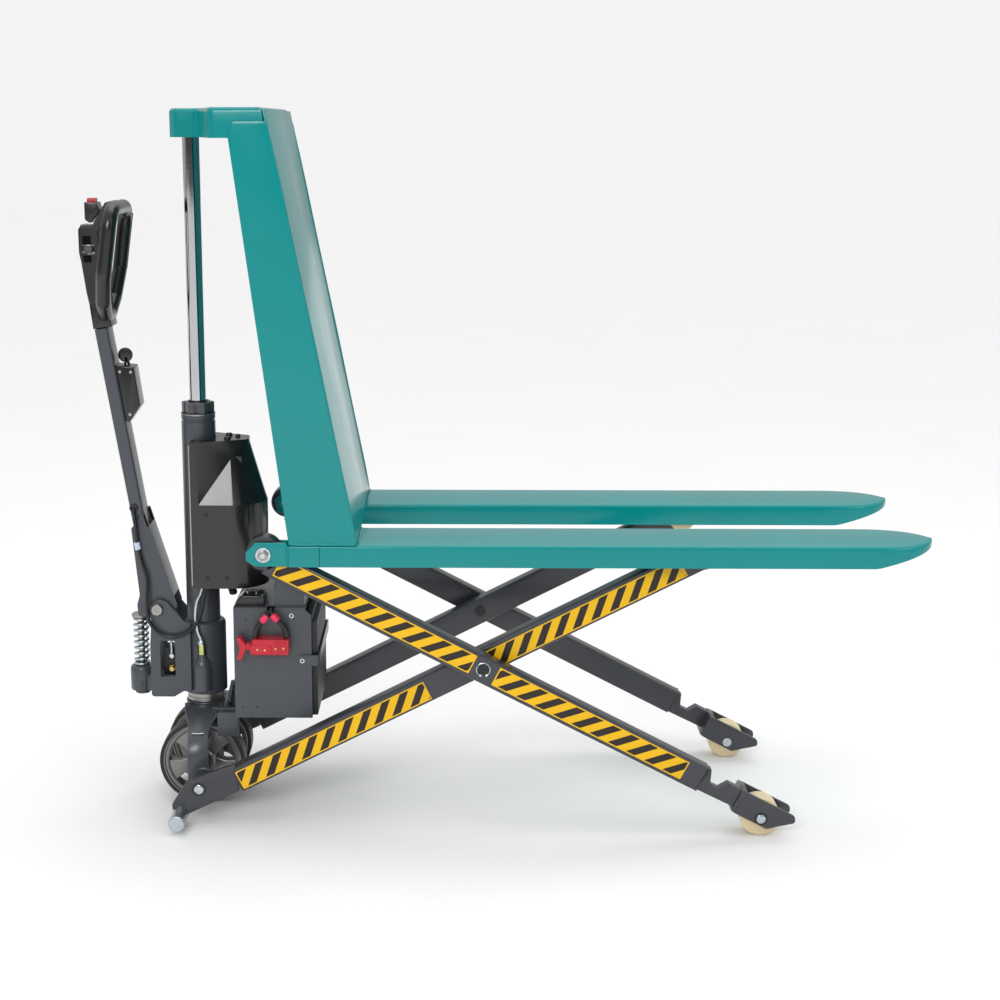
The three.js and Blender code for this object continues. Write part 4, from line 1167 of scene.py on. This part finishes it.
# ---------------------------------------------------------------- tiller
def build_tiller(paint, grip, matt, moulded, steel, red, recess_shade):
    plate = rounded([(-141, 583, 4), (-112, 617), (-50, 414, 6), (-64, 396, 6), (-90, 391, 8),
        (-132, 394, 8), (-134, 420), (-128, 440)])
    plates = [slab("p", "y", [plate, circle(*TILLER_PIVOT, 8.5)], reach, 1.0, 2)
        for reach in ((-36, -30), (30, 36))]
    flange = slab("f", "y", [[(-103.4, 589), (-57, 437), (-62, 435.5), (-108.4, 587.5)]], (-36.2, 36.2), 0.8)
    tabs = [slab("f", "y", [[(-112, 617), (-103, 588), (-108, 586.5), (-117, 615.5)]], reach, 0.8)
        for reach in ((-36, -30), (30, 36))]
    follower = joined("o", turned("a", [(0, -26), (13, -26), (14, -25), (14, 25), (13, 26), (0, 26)],
        (-120, 408), 40), turned("b", [(0, -38), (4.4, -38), (5, -37.4), (5, 37.4), (4.4, 38), (0, 38)],
        (-120, 408), 24))
    give(joined("bracket", *plates, flange, *tabs, follower), "tiller", paint, "chassis", "tiller_bracket")

    def box_ring(z, x0, x1, half, radius):
        ring = []
        for cx, cy, start in ((x1 - radius, half - radius, 0), (x0 + radius, half - radius, 90),
                (x0 + radius, -half + radius, 180), (x1 - radius, -half + radius, 270)):
            for i in range(5):
                angle = math.radians(start + 22.5 * i)
                px, pz = leaned(cx + radius * math.cos(angle), z)
                ring.append((px, cy + radius * math.sin(angle), pz))
        return ring

    outer = [box_ring(z, -20, 7, 29.7, 4.5) for z in (178, 592)]
    inner = [box_ring(z, -17, 4, 26.7, 2.5) for z in (592, 178)]
    points = [p for ring in outer + inner for p in ring]
    rings = [list(range(i * 20, i * 20 + 20)) for i in range(4)]
    tube = outward(new_mesh("tiller_column", points, ring_faces(rings, close=True)))
    give(tube, "tiller", paint, "chassis", "tiller_tube")
    grommet = turned("grommet", [(4.2, -29.9), (9, -29.9), (9, -32), (8, -33), (4.2, -33), (4.2, -29.9)],
        (-135, 626), 32)
    give(grommet, "tiller", matt, "black_plastic")

    def tilt(y, height, x=0.0):
        angle = math.radians(8)
        across = -184 + height * math.sin(angle) + x * math.cos(angle)
        return (across, y, 994 + height * math.cos(angle) - x * math.sin(angle))

    loop = rounded([(-24, 30, 8), (-60, 60, 20), (-88, 116, 34), (-88, 247, 42), (88, 247, 42),
        (88, 116, 34), (60, 60, 20), (24, 30, 8)], 10)
    dense = []
    for i, (y, h) in enumerate(loop):
        y2, h2 = loop[(i + 1) % len(loop)]
        count = max(1, int(math.hypot(y2 - y, h2 - h) / 9))
        dense += [tilt(y + (y2 - y) * k / count, h + (h2 - h) * k / count) for k in range(count)]
    ring = sweep("handle_ring", dense, 15, 24, closed=True, up=(0.99, 0, -0.139))
    socket = slab("socket", "y", [[(-204, 996), (-166, 1002), (-174, 1048), (-210, 1044)]], (-34, 34), 5, 4)
    spine = rounded([(-204, 1010), (-168, 1010), (-176, 1090), (-186, 1190), (-150, 1240),
        (-156, 1254, 4), (-172, 1250), (-200, 1204), (-222, 1206), (-228, 1196), (-228, 1150),
        (-224, 1130), (-216, 1070)], 3)
    body = slab("spine", "y", [spine], (-28, 28), 4.5, 4)
    notch = slab("notch", "y", [rect(-221, -196, 1146, 1166)], (-40, 40), 0.5, 1)
    body = carved(body, notch)
    well = slab("well", "y", [leaned_outline(rect(-21, 8, 560, 593))], (-30, 30), 0.4, 1)
    socket = carved(socket, well)
    give(joined("handle_shell", ring, socket, body), "tiller", grip, "grip", "tiller_handle")
    seams = [sweep("s", [tilt(y, h, 14.6) for h in range(120, 240, 6)], lambda s: 0.9
        + 0.5 * math.sin(s * 120), 8) for y in (-88, 88)]
    give(joined("handle_seams", *seams), "tiller", moulded, "grip")
    # Near-black pads on the spine above and below the lever notch: painted shade standing for the shadow in
    # the lever recesses.
    shade_pads = [slab("p", "y", [[(-219 - tip, low), (-202, low), (-202, high), (-219, high)]], (-28.5, 28.5),
        0.8) for low, high, tip in ((1131, 1145, -1), (1167, 1184, 1))]
    give(joined("lever_recess_shade", *shade_pads), "tiller", recess_shade, "grip")
    housing = slab("housing", "y", [[(-214, 1216), (-206, 1210), (-202, 1209.7), (-184, 1232),
        (-190, 1250), (-214, 1250)]], (-24, 24), 2.2, 3)
    pocket = slab("pocket", "z", [rect(-211, -193, -12, 12)], (1241, 1262), 0.4, 1)
    give(carved(housing, pocket), "tiller", moulded, "black_plastic", "switch_housing")
    button = slab("button_cap", "z", [rect(-210.5, -193.5, -11.5, 11.5)], (1246, 1258), 2, 3)
    give(button, "button", red, "red", "lift_button")
    lever = slab("lever_tab", "z", [rounded([(-217, -33, 4), (-199, -33, 3), (-199, 33, 3),
        (-217, 33, 4)])], (1150, 1162), 2, 3)
    give(lever, "lever", paint, "chassis", "lowering_lever")
    profile = rounded([(7.3, 400), (13.3, 394), (42, 424, 4), (44, 505, 4), (7.3, 514)])
    box = slab("key_case", "y", [leaned_outline(profile)], (-26, 26), 2.2, 3)
    bore = slab("key_bore", "z", [circle(0, 0, 6.5, 28)], (490, 520), 0.3, 1)
    bore.data.transform(Matrix.Translation((SHIFT / 1000, 0, 0)))
    bore.data.transform(Matrix.Translation((27 / 1000, 0, 0)))
    lean = Matrix.Rotation(math.radians(-TILLER_LEAN), 4, "Y")
    place = Matrix.Translation(at(TILLER_PIVOT[0], 0, TILLER_PIVOT[1]))
    bore.data.transform(place @ lean)
    give(carved(box, bore), "tiller", moulded, "black_plastic", "key_box")
    stem = lathe("stem", [(0, 490.3), (5, 490.3), (6, 491.3), (6, 514.5), (5, 516), (0, 516)],
        (SHIFT + 27, 0, 0), "z", 32)
    stem.data.transform(place @ lean)
    bow = slab("bow", "y",
        [[leaned(27 + 15 * math.cos(math.radians(a)), 530 + 15 * math.sin(math.radians(a)))
        for a in range(0, 360, 10)]], (-2, 2), 0.7, 2)
    shank = slab("shank", "y", [leaned_outline(rect(24, 30, 512, 526))], (-2, 2), 0.6)
    give(joined("key_grip", stem, bow, shank), "ignition_key", moulded, "black_plastic", "key")
    screws = [turned("s", [(0, -26), (3, -26), (3, -27), (0, -27.6)], p, 20) for p in (leaned(18, 410),
        leaned(36, 496), leaned(14, 500))]
    give(joined("case_screws", *screws), "tiller", steel, "steel")


# ---------------------------------------------------------------- the whole truck
def add_floor():
    mesh = bpy.data.meshes.new("floor")
    mesh.from_pydata([(-30, -30, 0), (30, -30, 0), (30, 30, 0), (-30, 30, 0)], [], [(0, 1, 2, 3)])
    floor = placed("floor", mesh)
    mesh.materials.append(Shader("floor", (0.86, 0.86, 0.86), 0.6).mottle(2, 0.01).material)


def main():
    teal, paint, leg = map(finish, ("teal_paint", "chassis_paint", "leg_paint"))
    moulded, matt, grip, cable = map(finish, ("moulded_black", "matt_black", "grip_black", "cable_black"))
    chrome, steel, zinc = map(finish, ("polished_chrome", "machined_steel", "zinc_plate"))
    yellow_metal, brassy = map(finish, ("yellow_zinc", "brass_metal"))
    aluminium, rubber, urethane = map(finish, ("cast_aluminium", "tread_rubber", "cream_urethane"))
    red, tag, clip = map(finish, ("red_plastic", "pink_tag", "clip_plastic"))
    yellow, dark = map(finish, ("yellow_film", "dark_film"))
    build_forks(teal)
    build_mast(teal)
    build_crosshead(teal)
    build_lift_pivots(zinc, steel, matt)
    build_outer_legs(leg, zinc, matt, urethane, yellow, dark)
    build_inner_legs(leg, zinc, matt, urethane, yellow, dark)
    build_chassis(paint, steel, zinc, matt, moulded, red, tag, cable, brassy)
    build_cylinder(paint, chrome, steel, matt)
    build_pump(paint, steel, zinc, matt, brassy, yellow_metal)
    build_cover(moulded, steel, matt)
    build_tiller_root(steel, cable, clip)
    build_wheels(aluminium, rubber, matt)
    build_tiller(paint, grip, matt, moulded, steel, red, finish("painted_recess_shade"))
    dress(paint, "steer_axle")
    dress(moulded, "power_unit")


main()
add_floor()
add_world()
add_camera()
bpy.context.scene.view_settings.view_transform = "Standard"
add_light("key", (-1.3, -4.65, 2.65), (-0.2, 0, 0.6), (1.8, 1.1), 85)
add_sun(1.0)
add_light("fill", (3.2, -2.2, 2.2), (0.3, 0, 0.5), (2.0, 2.0), 18)
add_light("top", (0.0, 0.4, 4.2), (0, 0, 0.4), (3.0, 2.0), 22)
